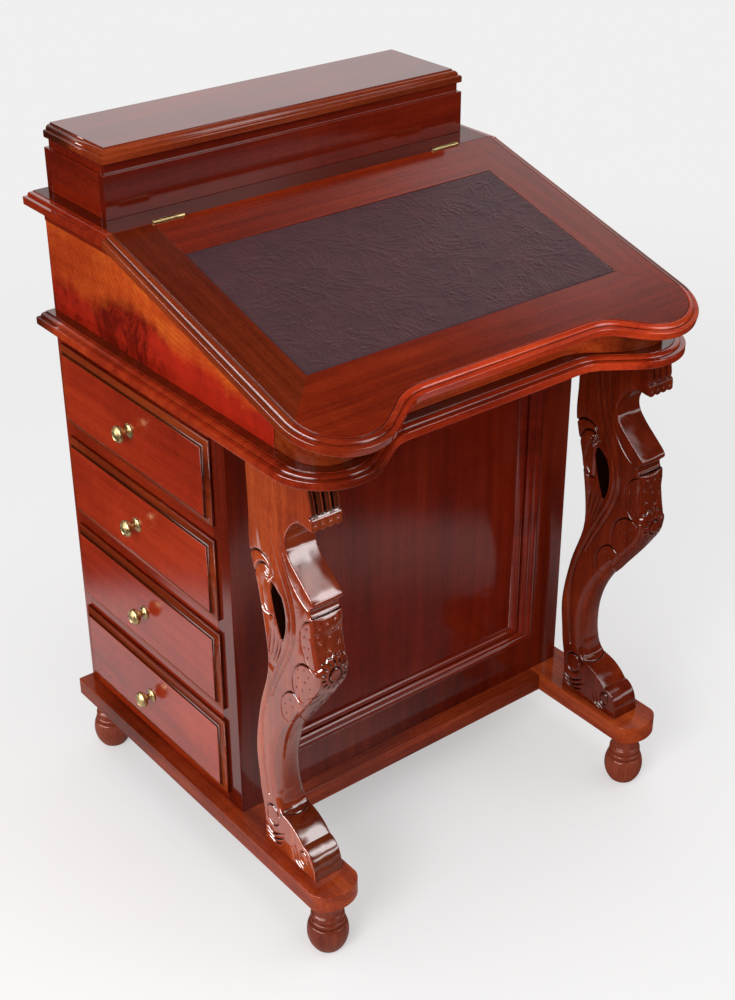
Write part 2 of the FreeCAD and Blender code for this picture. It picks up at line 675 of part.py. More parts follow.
# ---------------------------------------------------------------- lid and its hinges
def lid_hinge_side(direction):
    """Leaves and screws of the two lid hinges on one side of the joint.

    direction is +1 for the leaves let into the shelf and -1 for those on the lid.
    Returns (leaf, screws) for each hinge.
    """
    face_y = HINGE_Y if direction > 0 else HINGE_Y - HINGE_GAP
    axis_z = SHELF_TOP + KNUCKLE_LIFT
    length = HINGE_OUT_X - HINGE_IN_X
    outer = length * 0.27
    pieces = []
    for start in (HINGE_IN_X, -HINGE_OUT_X):
        y0, y1 = sorted((face_y, face_y + direction * LEAF_THICK))
        leaf = block(start, start + length, y0, y1, axis_z - LEAF_DEPTH, axis_z - KNUCKLE_LIFT)
        if direction > 0:
            barrels = [(start, outer), (start + length - outer, outer)]
            keep_out = (start + outer, length - 2 * outer)
            bore = PIN_RADIUS
        else:
            barrels = [(start + outer + KNUCKLE_GAP, length - 2 * outer - 2 * KNUCKLE_GAP)]
            keep_out = None
            bore = PIN_RADIUS + PIN_CLEAR
        pocket = cylinder((start - 1, HINGE_Y, axis_z), (1, 0, 0), POCKET_RADIUS, length + 2)
        leaf = leaf.cut(pocket)
        for x, run in barrels:
            barrel = cylinder((x, HINGE_Y, axis_z), (1, 0, 0), KNUCKLE_RADIUS, run)
            neck = block(x, x + run, y0, y1, axis_z - POCKET_RADIUS - 0.5, axis_z - 1.2)
            leaf = leaf.fuse([barrel, neck])
        leaf = leaf.cut(cylinder((start - 1, HINGE_Y, axis_z), (1, 0, 0), bore, length + 2))
        if direction < 0:
            leaf = leaf.cut(block(start - 1, start + length + 1, HINGE_Y - HINGE_GAP, HINGE_Y + 9,
                                  axis_z - LEAF_DEPTH - 1, axis_z - KNUCKLE_RADIUS - 0.2))
        screws = []
        for share in (0.16, 0.5, 0.84):
            seat = (start + share * length, face_y, axis_z - SCREW_DROP)
            head = cylinder(seat, (0, direction, 0), SCREW_HEAD_RADIUS, LEAF_THICK)
            shank = cylinder(seat, (0, direction, 0), SCREW_RADIUS, SCREW_LENGTH)
            screws.append(head.fuse(shank))
        leaf = leaf.cut(screws)
        pieces.append((leaf.removeSplitter(), screws))
    return pieces


def lid_hinge_pins():
    """Pins through the lid hinges' knuckles."""
    axis_z = SHELF_TOP + KNUCKLE_LIFT
    length = HINGE_OUT_X - HINGE_IN_X
    return [cylinder((start, HINGE_Y, axis_z), (1, 0, 0), PIN_RADIUS, length)
            for start in (HINGE_IN_X, -HINGE_OUT_X)]


def build_lid():
    """Writing slope: stiles, top rail, serpentine front rail, core, leather and hinges."""
    nose = Serpentine(-333.4 - QUIRK_INSET, -372.4 - QUIRK_INSET, 113.0, 208.0, NOSE_HALF, 12.0)
    lid = moulded_board(lambda z, inset: nose.face(z, -inset), -BOARD_THICK, 12.0)
    well = block(-LEATHER_HALF, LEATHER_HALF, -LEATHER_BOTTOM, -LEATHER_TOP, -30, 30)
    frame = lid.cut(well)

    reach = 90.0
    far = (-LEATHER_HALF - reach, -LEATHER_BOTTOM - reach)
    low, tall = -30.0, 60.0

    def zone(points):
        return prism([(x, y, low) for x, y in points], (0, 0, tall))

    stile_zone = zone([(-LEATHER_HALF, 20), (-LEATHER_HALF, -LEATHER_BOTTOM), far,
                       (-400, far[1]), (-400, 20)])
    stile_zone_right = mirrored_x(stile_zone)
    top_zone = block(-LEATHER_HALF, LEATHER_HALF, -LEATHER_TOP, 20, low, low + tall)
    stile_left = frame.common(stile_zone)
    stile_right = frame.common(stile_zone_right)
    top_rail = frame.common(top_zone)
    front_rail = frame.cut([stile_zone, stile_zone_right, top_zone])
    leather = block(-LEATHER_HALF, LEATHER_HALF, -LEATHER_BOTTOM, -LEATHER_TOP,
                    -LEATHER_THICK - LEATHER_SUNK, -LEATHER_SUNK)
    core = block(-LEATHER_HALF, LEATHER_HALF, -LEATHER_BOTTOM, -LEATHER_TOP,
                 -BOARD_THICK, -LEATHER_THICK - LEATHER_SUNK)

    beyond = block(-400, 400, HINGE_Y - HINGE_GAP, HINGE_Y + 60, 600, 900)
    moving = lid_hinge_side(-1)
    hardware = [leaf for leaf, _ in moving] + [s for _, screws in moving for s in screws]
    pockets = hinge_pockets(HINGE_Y, SHELF_TOP + KNUCKLE_LIFT)

    def fitted(piece):
        return to_slope(piece).cut([beyond] + hardware + pockets)

    save("lid_stiles", fitted(stile_left), fitted(stile_right))
    save("lid_top_rail", fitted(top_rail))
    save("lid_front_rail", to_slope(front_rail))
    save("lid_core", to_slope(core))
    save("lid_leather", to_slope(leather))

    fixed = lid_hinge_side(1)
    save("lid_hinge_fixed_leaves", *[leaf for leaf, _ in fixed])
    save("lid_hinge_fixed_screws", *[s for _, screws in fixed for s in screws])
    save("lid_hinge_moving_leaves", *[leaf for leaf, _ in moving])
    save("lid_hinge_moving_screws", *[s for _, screws in moving for s in screws])
    save("lid_hinge_pins", *lid_hinge_pins())


# ---------------------------------------------------------------- pen box
PEN_AXIS_Y = PEN_BACK_Y + 1.0
PEN_HINGE_X = 150.0
PEN_HINGE_LENGTH = 38.0
PEN_KNUCKLE_RADIUS = 2.2
PEN_LEAF_DEPTH = 9.0
PEN_AXIS_Z = PEN_LID_BOTTOM - LID_GAP / 2


def pen_leaves(direction):
    """Pen-lid hinge leaves: direction -1 lies on the wall's top edge, +1 under the lid."""
    leaves = []
    length = PEN_HINGE_LENGTH
    outer = length * 0.27
    for start in (-PEN_HINGE_X - length / 2, PEN_HINGE_X - length / 2):
        z0, z1 = sorted((PEN_AXIS_Z + direction * LID_GAP / 2,
                         PEN_AXIS_Z + direction * (LID_GAP / 2 + 1.0)))
        if direction < 0:
            barrels = [(start, outer), (start + length - outer, outer)]
            bore = PIN_RADIUS
        else:
            barrels = [(start + outer + KNUCKLE_GAP, length - 2 * outer - 2 * KNUCKLE_GAP)]
            bore = PIN_RADIUS + PIN_CLEAR
        leaf = block(start, start + length, PEN_BACK_Y - PEN_LEAF_DEPTH, PEN_AXIS_Y - POCKET_RADIUS, z0, z1)
        for x, run in barrels:
            barrel = cylinder((x, PEN_AXIS_Y, PEN_AXIS_Z), (1, 0, 0), PEN_KNUCKLE_RADIUS, run)
            neck = block(x, x + run, PEN_AXIS_Y - POCKET_RADIUS - 0.5, PEN_AXIS_Y - 1.2, z0, z1)
            leaf = leaf.fuse([barrel, neck])
        leaf = leaf.cut(cylinder((start - 1, PEN_AXIS_Y, PEN_AXIS_Z), (1, 0, 0), bore, length + 2))
        leaves.append(leaf.removeSplitter())
    return leaves


def build_pen_box():
    """Pen box walls with a recessed neck, the moulded lid and its hinges."""
    neck_z = PEN_WALL_TOP - PEN_RECESS_HEIGHT

    def slab(inset, z0, z1):
        return block(-PEN_HALF + inset, PEN_HALF - inset, PEN_FRONT_Y + inset, PEN_BACK_Y - inset, z0, z1)

    hollow = block(-PEN_HALF + PEN_WALL, PEN_HALF - PEN_WALL, PEN_FRONT_Y + PEN_WALL,
                   PEN_BACK_Y - PEN_WALL, SHELF_TOP - 1, PEN_WALL_TOP + 1)
    walls = slab(0, SHELF_TOP, neck_z).fuse(slab(PEN_RECESS, neck_z, PEN_WALL_TOP)).cut(hollow)
    fixed = pen_leaves(-1)
    moving = pen_leaves(1)
    length = PEN_HINGE_LENGTH
    starts = (-PEN_HINGE_X - length / 2, PEN_HINGE_X - length / 2)
    pockets = [cylinder((start - 0.5, PEN_AXIS_Y, PEN_AXIS_Z), (1, 0, 0), POCKET_RADIUS, length + 1)
               for start in starts]
    walls = walls.cut(fixed + pockets)
    front_zone = block(-400, 400, PEN_FRONT_Y - 5, PEN_FRONT_Y + PEN_WALL, 700, 900)
    back_zone = block(-400, 400, PEN_BACK_Y - PEN_WALL, PEN_BACK_Y + 5, 700, 900)
    save("pen_box_front", walls.common(front_zone).removeSplitter())
    save("pen_box_back", walls.common(back_zone).removeSplitter())
    ends = walls.cut([front_zone, back_zone])
    save("pen_box_ends", *ends.Solids)

    nose_top = PEN_LID_BOTTOM + PEN_LID_NOSE
    top = PEN_LID_BOTTOM + PEN_LID_THICK
    half = PEN_HALF - 0.2
    nose = block(-half, half, PEN_LID_NOSE_FRONT_Y, PEN_LID_NOSE_BACK_Y, PEN_LID_BOTTOM, nose_top)
    nose = rounded_edges(nose, NOSE_ROUND, lambda e: e.BoundBox.ZLength < 1e-6
                         and abs(e.BoundBox.ZMin - PEN_LID_BOTTOM) < 1e-6)

    def ring(z, share):
        x = half - share * (half - PEN_LID_TOP_HALF)
        front = PEN_LID_NOSE_FRONT_Y + share * (PEN_LID_TOP_FRONT_Y - PEN_LID_NOSE_FRONT_Y)
        back = PEN_LID_NOSE_BACK_Y - share * (PEN_LID_NOSE_BACK_Y - PEN_LID_TOP_BACK_Y)
        return Part.makePolygon([Vector(-x, front, z), Vector(x, front, z), Vector(x, back, z),
                                 Vector(-x, back, z), Vector(-x, front, z)])

    shoulder_z = top - QUIRK_DEPTH - 2.2
    stages = [((nose_top, 0.22), (shoulder_z, 0.3)), ((shoulder_z, 0.3), (top - QUIRK_DEPTH, 0.78)),
              ((top - QUIRK_DEPTH, 1.0), (top, 1.0))]
    crown = [Part.makeLoft([ring(*a), ring(*b)], True, True) for a, b in stages]
    lid = nose.fuse(crown).removeSplitter().cut(moving + pockets)
    save("pen_lid", lid)
    save("pen_hinge_fixed_leaves", *fixed)
    save("pen_hinge_moving_leaves", *moving)
    save("pen_hinge_pins", *[
        cylinder((start, PEN_AXIS_Y, PEN_AXIS_Z), (1, 0, 0), PIN_RADIUS, length) for start in starts])


def main():
    """Build every sub-part of the desk."""
    os.makedirs("parts", exist_ok=True)
    build_base()
    build_pedestal()
    build_drawers()
    build_supports()
    build_writing_box()
    build_lid()
    build_pen_box()


main()
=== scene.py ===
"""Looks of a davenport desk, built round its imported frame.

Every piece is in metres, with the frame's axes: +X to the sitter's right, +Y away from the sitter
and +Z up. Outlines that a maker would read off a drawing are in millimetres and scaled by MM.
"""

import logging
import math
from dataclasses import dataclass, field, replace
from enum import Enum
from typing import Any, Sequence

import bmesh
import bpy
import numpy as np
from bmesh.types import BMesh
from bpy.types import Material, Mesh, Object
from mathutils import Matrix, Vector, noise
from numpy import ndarray as Array


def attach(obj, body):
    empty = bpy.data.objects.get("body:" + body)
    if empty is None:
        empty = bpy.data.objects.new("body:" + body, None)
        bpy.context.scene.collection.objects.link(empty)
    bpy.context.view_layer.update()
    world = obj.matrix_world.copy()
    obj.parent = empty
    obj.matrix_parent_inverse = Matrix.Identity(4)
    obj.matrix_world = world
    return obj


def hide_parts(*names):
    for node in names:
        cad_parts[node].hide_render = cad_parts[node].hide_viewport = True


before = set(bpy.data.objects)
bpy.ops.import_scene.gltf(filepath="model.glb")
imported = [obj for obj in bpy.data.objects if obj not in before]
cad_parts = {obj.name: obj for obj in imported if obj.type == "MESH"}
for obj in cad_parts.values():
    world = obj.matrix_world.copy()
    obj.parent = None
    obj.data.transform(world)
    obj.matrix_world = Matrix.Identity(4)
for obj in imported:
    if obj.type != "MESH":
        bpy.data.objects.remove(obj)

log = logging.getLogger("desk")
MM = 0.001
Colour = tuple[float, float, float]
Point = tuple[float, float, float]
Pair = tuple[float, float]
Outline = Sequence[Pair]


# ---------------------------------------------------------------- shader building
class Socket:
    """A shader value that takes part in Python arithmetic."""

    def __init__(self, graph: "Graph", link: bpy.types.NodeSocket) -> None:
        """Args: graph: the tree it belongs to. link: the output socket."""
        self.graph = graph
        self.link = link

    def _maths(self, operation: str, *values: Any) -> "Socket":
        """Args: operation: a Math node's. values: its inputs. Returns: the result."""
        return self.graph.node("Math", {"operation": operation}, dict(enumerate(values)))

    def __add__(self, other: Any) -> "Socket":
        """Sum."""
        return self._maths("ADD", self, other)

    def __radd__(self, other: Any) -> "Socket":
        """Sum with a number on the left."""
        return self._maths("ADD", other, self)

    def __sub__(self, other: Any) -> "Socket":
        """Difference."""
        return self._maths("SUBTRACT", self, other)

    def __rsub__(self, other: Any) -> "Socket":
        """Difference from a number on the left."""
        return self._maths("SUBTRACT", other, self)

    def __mul__(self, other: Any) -> "Socket":
        """Product."""
        return self._maths("MULTIPLY", self, other)

    def __rmul__(self, other: Any) -> "Socket":
        """Product with a number on the left."""
        return self._maths("MULTIPLY", other, self)

    def sine(self) -> "Socket":
        """Sine of the value in radians."""
        return self._maths("SINE", self)

    def size(self) -> "Socket":
        """Absolute value."""
        return self._maths("ABSOLUTE", self)

    def step(self, low: float, high: float) -> "Socket":
        """Args: low, high: where it is 0 and 1. Returns: a smooth step between them."""
        return self.graph.node("MapRange", {"interpolation_type": "SMOOTHSTEP"},
                               {"Value": self, "From Min": low, "From Max": high})


class Graph:
    """The node tree of a material or of the studio's world."""

    def __init__(self, name: str, world: bool = False) -> None:
        """Args: name: its name. world: makes a world, not a material."""
        self.owner = bpy.data.worlds.new(name) if world else bpy.data.materials.new(name)
        self.owner.use_nodes = True
        self.tree = self.owner.node_tree
        self.tree.nodes.clear()
        self.last = "OutputWorld" if world else "OutputMaterial"

    def node(self, kind: str, settings: dict[str, Any] | None = None,
             inputs: dict[Any, Any] | None = None, out: Any = 0) -> Socket:
        """Adds a node.

        Args:
            kind: the node's type, without ShaderNode.
            settings: its properties, set first; `stops` gives a ramp's stops.
            inputs: values or sockets by input name or number.
            out: the output to return, by name or number.

        Returns:
            The chosen output.
        """
        made = self.tree.nodes.new(f"ShaderNode{kind}")
        for key, value in (settings or {}).items():
            if key == "stops":
                self._set_stops(made.color_ramp, value)
            else:
                setattr(made, key, value)
        for key, value in (inputs or {}).items():
            if isinstance(value, Socket):
                self.tree.links.new(value.link, made.inputs[key])
            else:
                made.inputs[key].default_value = value
        return Socket(self, made.outputs[out] if made.outputs else None)

    @staticmethod
    def _set_stops(ramp: bpy.types.ColorRamp, stops: Sequence[tuple[float, Colour]]) -> None:
        """Args: ramp: the ramp to fill. stops: its positions and colours."""
        while len(ramp.elements) < len(stops):
            ramp.elements.new(1)
        for element, (position, colour) in zip(ramp.elements, stops, strict=True):
            element.position = position
            element.color = (*colour, 1)

    def place(self) -> Socket:
        """Object coordinates in metres."""
        return self.node("TexCoord", out="Object")

    def parts(self, vector: Socket) -> list[Socket]:
        """Args: vector: coordinates. Returns: its three components."""
        split = self.node("SeparateXYZ", {}, {0: vector})
        return [Socket(self, out) for out in split.link.node.outputs]

    def vector(self, operation: str, first: Socket, second: Any = (0, 0, 0),
               out: Any = 0) -> Socket:
        """Args: operation: a name. first, second: inputs. out: the output. Returns: the result."""
        return self.node("VectorMath", {"operation": operation}, {0: first, 1: second}, out)

    def turned(self, vector: Socket, along: Point, across: Point, shift: float) -> Socket:
        """Coordinates with X along the grain.

        Args:
            vector: the coordinates to turn.
            along: unit vector of the grain.
            across: unit vector over the face, square to the grain.
            shift: offset in metres that makes each board its own.

        Returns:
            The turned coordinates.
        """
        a, b = Vector(along), Vector(across)
        return self.node("Mapping", {"vector_type": "POINT"}, {
            "Vector": vector, "Rotation": Matrix((a, b, a.cross(b))).to_euler(),
            "Location": (shift, 1.7 * shift, 0.6 * shift)})

    def noise(self, vector: Socket, scale: Point, detail: float = 2, rough: float = 0.5,
              warp: float = 0) -> Socket:
        """Stretched noise.

        Args:
            vector: coordinates.
            scale: waves in a metre on each axis.
            detail: octaves.
            rough: how strong the finer octaves are.
            warp: distortion.

        Returns:
            A value of about 0.2 to 0.8.
        """
        return self.node("TexNoise", {}, {
            "Vector": self.vector("MULTIPLY", vector, scale), "Scale": 1, "Detail": detail,
            "Roughness": rough, "Distortion": warp})

    def mix(self, share: Any, first: Any, second: Any) -> Socket:
        """Blends two colours. Args: share: weight of the second. Returns: the colour."""
        return self.node("Mix", {"data_type": "RGBA"}, {
            index: (*value, 1) if isinstance(value, tuple) else value
            for index, value in ((0, share), (6, first), (7, second))}, out=2)

    def ramp(self, value: Socket, stops: Sequence[tuple[float, Colour]]) -> Socket:
        """Args: value: position on the ramp. stops: positions and colours. Returns: the colour."""
        return self.node("ValToRGB", {"stops": stops}, {"Fac": value})

    def bump(self, height: Socket, strength: float, distance: float) -> Socket:
        """Args: height: relief. strength: its share. distance: metres a unit. Returns: a normal."""
        return self.node("Bump", {}, {"Height": height, "Strength": strength,
                                                "Distance": distance})

    def surface(self, **inputs: Any) -> Material:
        """Args: inputs: a Principled shader's, spaces as _. Returns: the finished material."""
        return self.end(self.node("BsdfPrincipled", {}, {
            key.replace("_", " "): value for key, value in inputs.items()}))

    def end(self, shader: Socket) -> Any:
        """Args: shader: what covers the surface. Returns: the finished material or world."""
        self.node(self.last, {}, {0: shader})
        return self.owner


# ---------------------------------------------------------------- finishes
SLOPE_ANGLE = math.radians(15.86)
SLOPE_DOWN = (0, -math.cos(SLOPE_ANGLE), -math.sin(SLOPE_ANGLE))
SLOPE_UP = (0, math.cos(SLOPE_ANGLE), math.sin(SLOPE_ANGLE))
SLOPE_NORMAL = (0, -math.sin(SLOPE_ANGLE), math.cos(SLOPE_ANGLE))
UPWARDS = (0, 0, 1)


class Grain(Enum):
    """Which way a board's grain runs, as (along, across) unit vectors."""

    X_ON_TOP = ((1, 0, 0), (0, 1, 0))
    X_ON_FRONT = ((1, 0, 0), (0, 0, 1))
    Y_ON_TOP = ((0, 1, 0), (1, 0, 0))
    Y_ON_SIDE = ((0, 1, 0), (0, 0, 1))
    Z_ON_FRONT = ((0, 0, 1), (1, 0, 0))
    Z_ON_SIDE = ((0, 0, 1), (0, 1, 0))
    DOWN_SLOPE = (SLOPE_DOWN, (1, 0, 0))
    ACROSS_SLOPE = ((1, 0, 0), SLOPE_UP)


@dataclass(frozen=True)
class Mahogany:
    """Polished mahogany: streaks, soft growth bands, blotches and dark pores under a clear gloss.

    A "hollow" attribute paints the wood darker up to 1, for old polish and painted shade, and paler
    down to -1, for wear and painted highlight.
    """

    dark: Colour
    middle: Colour
    light: Colour
    figure: float = 0.55
    blotch: float = 1.0
    band_pitch: float = 0.022
    gloss: float = 0.11
    polish: float = 1.0
    depth: float = 1.5
    fiddle: float = 0.15
    flamed: bool = False
    glow: Colour = (0.58, 0.13, 0.014)
    ember: Colour = (0.27, 0.0125, 0.0045)
    cross_band: Colour = (0.26, 0.018, 0.0045)
    old_polish_and_shade: Colour = (0.006, 0.0016, 0.0009)
    pale_wear_and_highlight: Colour = (0.6, 0.4, 0.29)

    def make(self, name: str, grain: Grain, shift: float) -> Material:
        """Makes the material for one board.

        Args:
            name: its name.
            grain: the grain's direction.
            shift: offset that makes this board its own.

        Returns:
            The material.
        """
        g = Graph(name)
        place = g.place()
        wood = g.turned(place, *grain.value, shift)
        drift = g.noise(wood, (1.3, 5, 5), 3, 0.55, 0.4)
        _, over, through = g.parts(wood)
        rings = ((over + 0.6 * through) * (math.tau / self.band_pitch) + drift * 24).sine()
        broad = g.noise(wood, (3, 26, 26), 3, 0.6)
        streak = g.noise(wood, (8, 300, 300), 3, 0.65)
        hair = g.noise(wood, (150, 900, 900), 3, 0.7)
        patch = g.noise(wood, (2.4, 6, 6), 2, 0.5, 0.8)
        shimmer = g.noise(wood, (60, 16, 16), 3, 0.55)
        tone = (0.5 + (broad - 0.5) * 0.4 + (streak - 0.5) * self.figure * 0.6
                + (hair - 0.5) * 0.42 + (shimmer - 0.5) * self.fiddle
                + rings * 0.05 * self.figure + (patch - 0.5) * self.blotch)
        colour = g.ramp(tone, [(0.2, self.dark), (0.5, self.middle), (0.82, self.light)])
        if self.flamed:
            colour = self._flame(g, place, wood, colour, tone)
        pore_noise = g.noise(wood, (120, 1900, 1900), 1, 0.4)
        pores = pore_noise.step(0.62, 0.74) * (0.2 + streak * 0.6)
        colour = g.mix(pores, colour, tuple(0.45 * c for c in self.dark))
        # Painted shade and painted highlight: the hollow attribute darkens the wood towards a
        # near-black polish colour and pales it towards a light tan.
        hollow = g.node("Attribute", {"attribute_name": "hollow"}, out="Fac")
        colour = g.mix(hollow.step(0, 1), colour, self.old_polish_and_shade)
        colour = g.mix((0.0 - hollow).step(0, 1) * 0.85, colour, self.pale_wear_and_highlight)
        ripple = g.noise(wood, (10, 18, 18), 1, 0.4)
        normal = g.bump(streak * 0.25 + ripple * 1.6 - pores * 0.5, 0.25, 0.0004)
        return g.surface(Base_Color=colour, Roughness=0.5, Normal=normal, Specular_IOR_Level=0,
                         Coat_Weight=(1.0 - hollow.step(0.72, 0.95) * 0.85) * self.polish,
                         Coat_Roughness=self.gloss, Coat_IOR=self.depth)

    def _flame(self, g: Graph, place: Socket, wood: Socket, colour: Socket, tone: Socket) -> Socket:
        """Figure of a side board: golden heart with curved growth lines over a red, blotched foot.

        Args:
            g: the tree.
            place: object coordinates.
            wood: coordinates along the grain; not used.
            colour: the plain wood.
            tone: its streaks.

        Returns:
            The figured colour.
        """
        _, y, z = g.parts(place)
        wander = g.noise(place, (9, 9, 9), 3, 0.6, 0.6)
        fine = g.noise(place, (90, 60, 60), 4, 0.65)
        lift = (1.0 - (y - 0.095).size() * 12.5).step(0, 1) * 0.022
        foot = (y * -0.02 + z - lift + (wander - 0.5) * 0.07
                + (fine - 0.5) * 0.012).step(0.642, 0.668)
        spot = g.node("CombineXYZ", {}, {0: y + 0.02, 1: (z - 0.755) * 1.4})
        far = g.vector("LENGTH", spot, out="Value")
        lines = ((far + (wander - 0.5) * 0.04) * (math.tau / 0.009)).sine()
        heart = g.ramp(tone + lines * 0.06 + (wander - 0.5) * 0.7 + (fine - 0.5) * 0.5,
                       [(0.1, self.middle), (0.5, self.light), (0.9, self.glow)])
        tongues = g.noise(place, (18, 24, 15), 4, 0.68, 0.9).step(0.42, 0.62)
        back = (y + (wander - 0.5) * 0.1).step(-0.02, 0.06)
        red = g.ramp(tone + (fine - 0.5) * 0.4 - back * 0.15,
                     [(0.1, self.dark), (0.4, self.ember),
                      (0.9, tuple(1.6 * c for c in self.ember))])
        red = g.mix(tongues * (0.2 + back * 0.65), red, self.dark)
        near = 1.0 - (y * 0.5 + (wander - 0.5) * 0.12).size().step(0.04, 0.11)
        heart = g.mix(near * 0.8, g.mix(0.6, heart, colour), heart)
        shade = g.noise(place, (13, 26, 7), 3, 0.6, 0.5).step(0.5, 0.8)
        heart = g.mix(shade * 0.45, heart, self.middle)
        strip = (z - y * math.tan(SLOPE_ANGLE)).step(0.7076, 0.7080)
        heart = g.mix(strip * 0.6, heart, self.cross_band)
        return g.mix(foot, red, heart)


@dataclass(frozen=True)
class PlainWood:
    """Pale unpolished wood of the drawers' insides and runners."""

    dark: Colour = (0.17, 0.07, 0.03)
    light: Colour = (0.36, 0.19, 0.095)

    def make(self, name: str, grain: Grain, shift: float) -> Material:
        """Args: name: its name. grain: its direction. shift: an offset. Returns: the material."""
        g = Graph(name)
        wood = g.turned(g.place(), *grain.value, shift)
        streak = g.noise(wood, (5, 180, 180), 3, 0.6)
        broad = g.noise(wood, (2, 22, 22), 2, 0.5)
        colour = g.ramp(0.5 + (streak - 0.5) * 1.2 + (broad - 0.5) * 1.1,
                        [(0.2, self.dark), (0.8, self.light)])
        return g.surface(Base_Color=colour, Roughness=0.62, Normal=g.bump(streak, 0.3, 0.0003),
                         Specular_IOR_Level=0.3)


@dataclass(frozen=True)
class CrinkledLeather:
    """Dark oxblood leather with fine pebbling, softly shined."""

    dark: Colour = (0.017, 0.0045, 0.0065)
    light: Colour = (0.063, 0.017, 0.021)

    def make(self, name: str) -> Material:
        """Args: name: its name. Returns: the material."""
        g = Graph(name)
        place = g.place()
        pebble = g.node("TexVoronoi", {"feature": "DISTANCE_TO_EDGE"},
                        {"Vector": place, "Scale": 850.0})
        cloud = g.noise(place, (30, 30, 30), 4, 0.7, 0.6)
        fleck = g.noise(place, (420, 420, 420), 2, 0.6)
        tone = 0.45 + (cloud - 0.5) * 0.9 + (fleck - 0.5) * 0.5
        colour = g.ramp(tone, [(0.1, self.dark), (0.9, self.light)])
        height = pebble.step(0, 0.25) * 0.2 + fleck * 0.4
        return g.surface(Base_Color=colour, Roughness=0.33 + fleck * 0.2,
                         Normal=g.bump(height, 0.35, 0.0003), Specular_IOR_Level=0.4)


@dataclass(frozen=True)
class AgedBrass:
    """Brass gone a little brown in patches, still bright between them."""

    bright: Colour = (0.51, 0.385, 0.18)
    dull: Colour = (0.26, 0.175, 0.08)

    def make(self, name: str) -> Material:
        """Args: name: its name. Returns: the material."""
        g = Graph(name)
        place = g.place()
        cloud = g.noise(place, (150, 150, 150), 4, 0.6)
        speck = g.noise(place, (900, 900, 900), 2, 0.5)
        tone = cloud * 0.8 + speck * 0.25
        colour = g.ramp(tone, [(0.36, self.dull), (0.62, self.bright)])
        return g.surface(Base_Color=colour, Metallic=1, Roughness=0.4 - (cloud - 0.5) * 0.4,
                         Normal=g.bump(speck, 0.15, 0.0001))


class Finish(Enum):
    """The desk's mahogany by place: dark, middle and light colour, then what sets it apart."""

    BODY = Mahogany((0.07, 0.004, 0.0012), (0.155, 0.0105, 0.0025), (0.27, 0.024, 0.005))
    STILE = Mahogany((0.035, 0.0034, 0.001), (0.082, 0.0085, 0.0019), (0.15, 0.0185, 0.004),
                     figure=0.7, blotch=0.6)
    SLOPE = Mahogany((0.052, 0.0038, 0.0012), (0.128, 0.0098, 0.0021), (0.22, 0.021, 0.0042),
                     figure=0.8, blotch=0.5)
    TOP = Mahogany((0.045, 0.003, 0.0009), (0.105, 0.0068, 0.0018), (0.2, 0.0165, 0.0037),
                   figure=0.5, blotch=0.6)
    SHELF = Mahogany((0.028, 0.0022, 0.0008), (0.062, 0.0056, 0.0016), (0.12, 0.012, 0.003),
                     figure=0.5, blotch=0.6, polish=0.6)
    # Lit copy of the wood for the moulded noses: painted light from the front.
    EDGE = Mahogany((0.13, 0.008, 0.0022), (0.37, 0.029, 0.0068), (0.6, 0.07, 0.014),
                    figure=0.8, gloss=0.08)
    # Lit copy of the wood for the serpentine front rail: painted light.
    RAIL = Mahogany((0.3, 0.026, 0.006), (0.62, 0.08, 0.015), (0.85, 0.19, 0.035),
                    figure=1, blotch=1.1, polish=0.15)
    MOULD = Mahogany((0.062, 0.006, 0.0018), (0.155, 0.0195, 0.0045), (0.28, 0.045, 0.01),
                     figure=0.7, blotch=0.7, polish=0.9)
    BEAD = replace(MOULD, polish=0.45)
    TURNED = Mahogany((0.075, 0.0105, 0.005), (0.165, 0.03, 0.014), (0.28, 0.061, 0.029),
                      figure=0.7, blotch=0.8, polish=0.35, gloss=0.22)
    FLAME = Mahogany((0.075, 0.0032, 0.0012), (0.23, 0.018, 0.004), (0.41, 0.054, 0.008),
                     figure=0.5, blotch=0.5, fiddle=0.28, flamed=True)
    DRAWER = Mahogany((0.105, 0.0058, 0.0018), (0.228, 0.0152, 0.0038), (0.365, 0.0335, 0.0073),
                      figure=0.45, blotch=0.7, gloss=0.17)
    BASE = Mahogany((0.062, 0.0062, 0.0018), (0.18, 0.0215, 0.0055), (0.35, 0.055, 0.0115),
                    figure=0.9, blotch=1.1, polish=0.42)
    # Shaded copy of the wood for the pedestal's front frame: painted shade.
    FRAME = Mahogany((0.036, 0.0024, 0.0009), (0.086, 0.0062, 0.0017), (0.155, 0.0138, 0.0035),
                     figure=0.6, blotch=0.8)
    CARVED = Mahogany((0.1, 0.0095, 0.003), (0.235, 0.03, 0.0082), (0.41, 0.074, 0.0165),
                      figure=0.6, blotch=0.9, depth=1.85)
    # Shaded copy of the carved wood for the right support: painted shade.
    CARVED_DARK = Mahogany((0.05, 0.004, 0.0012), (0.13, 0.0135, 0.003), (0.26, 0.037, 0.0065),
                           figure=0.6, blotch=0.9, polish=0.8)
    PANEL = Mahogany((0.052, 0.0028, 0.001), (0.118, 0.0074, 0.0019), (0.2, 0.016, 0.0037),
                     figure=0.5, blotch=0.6)


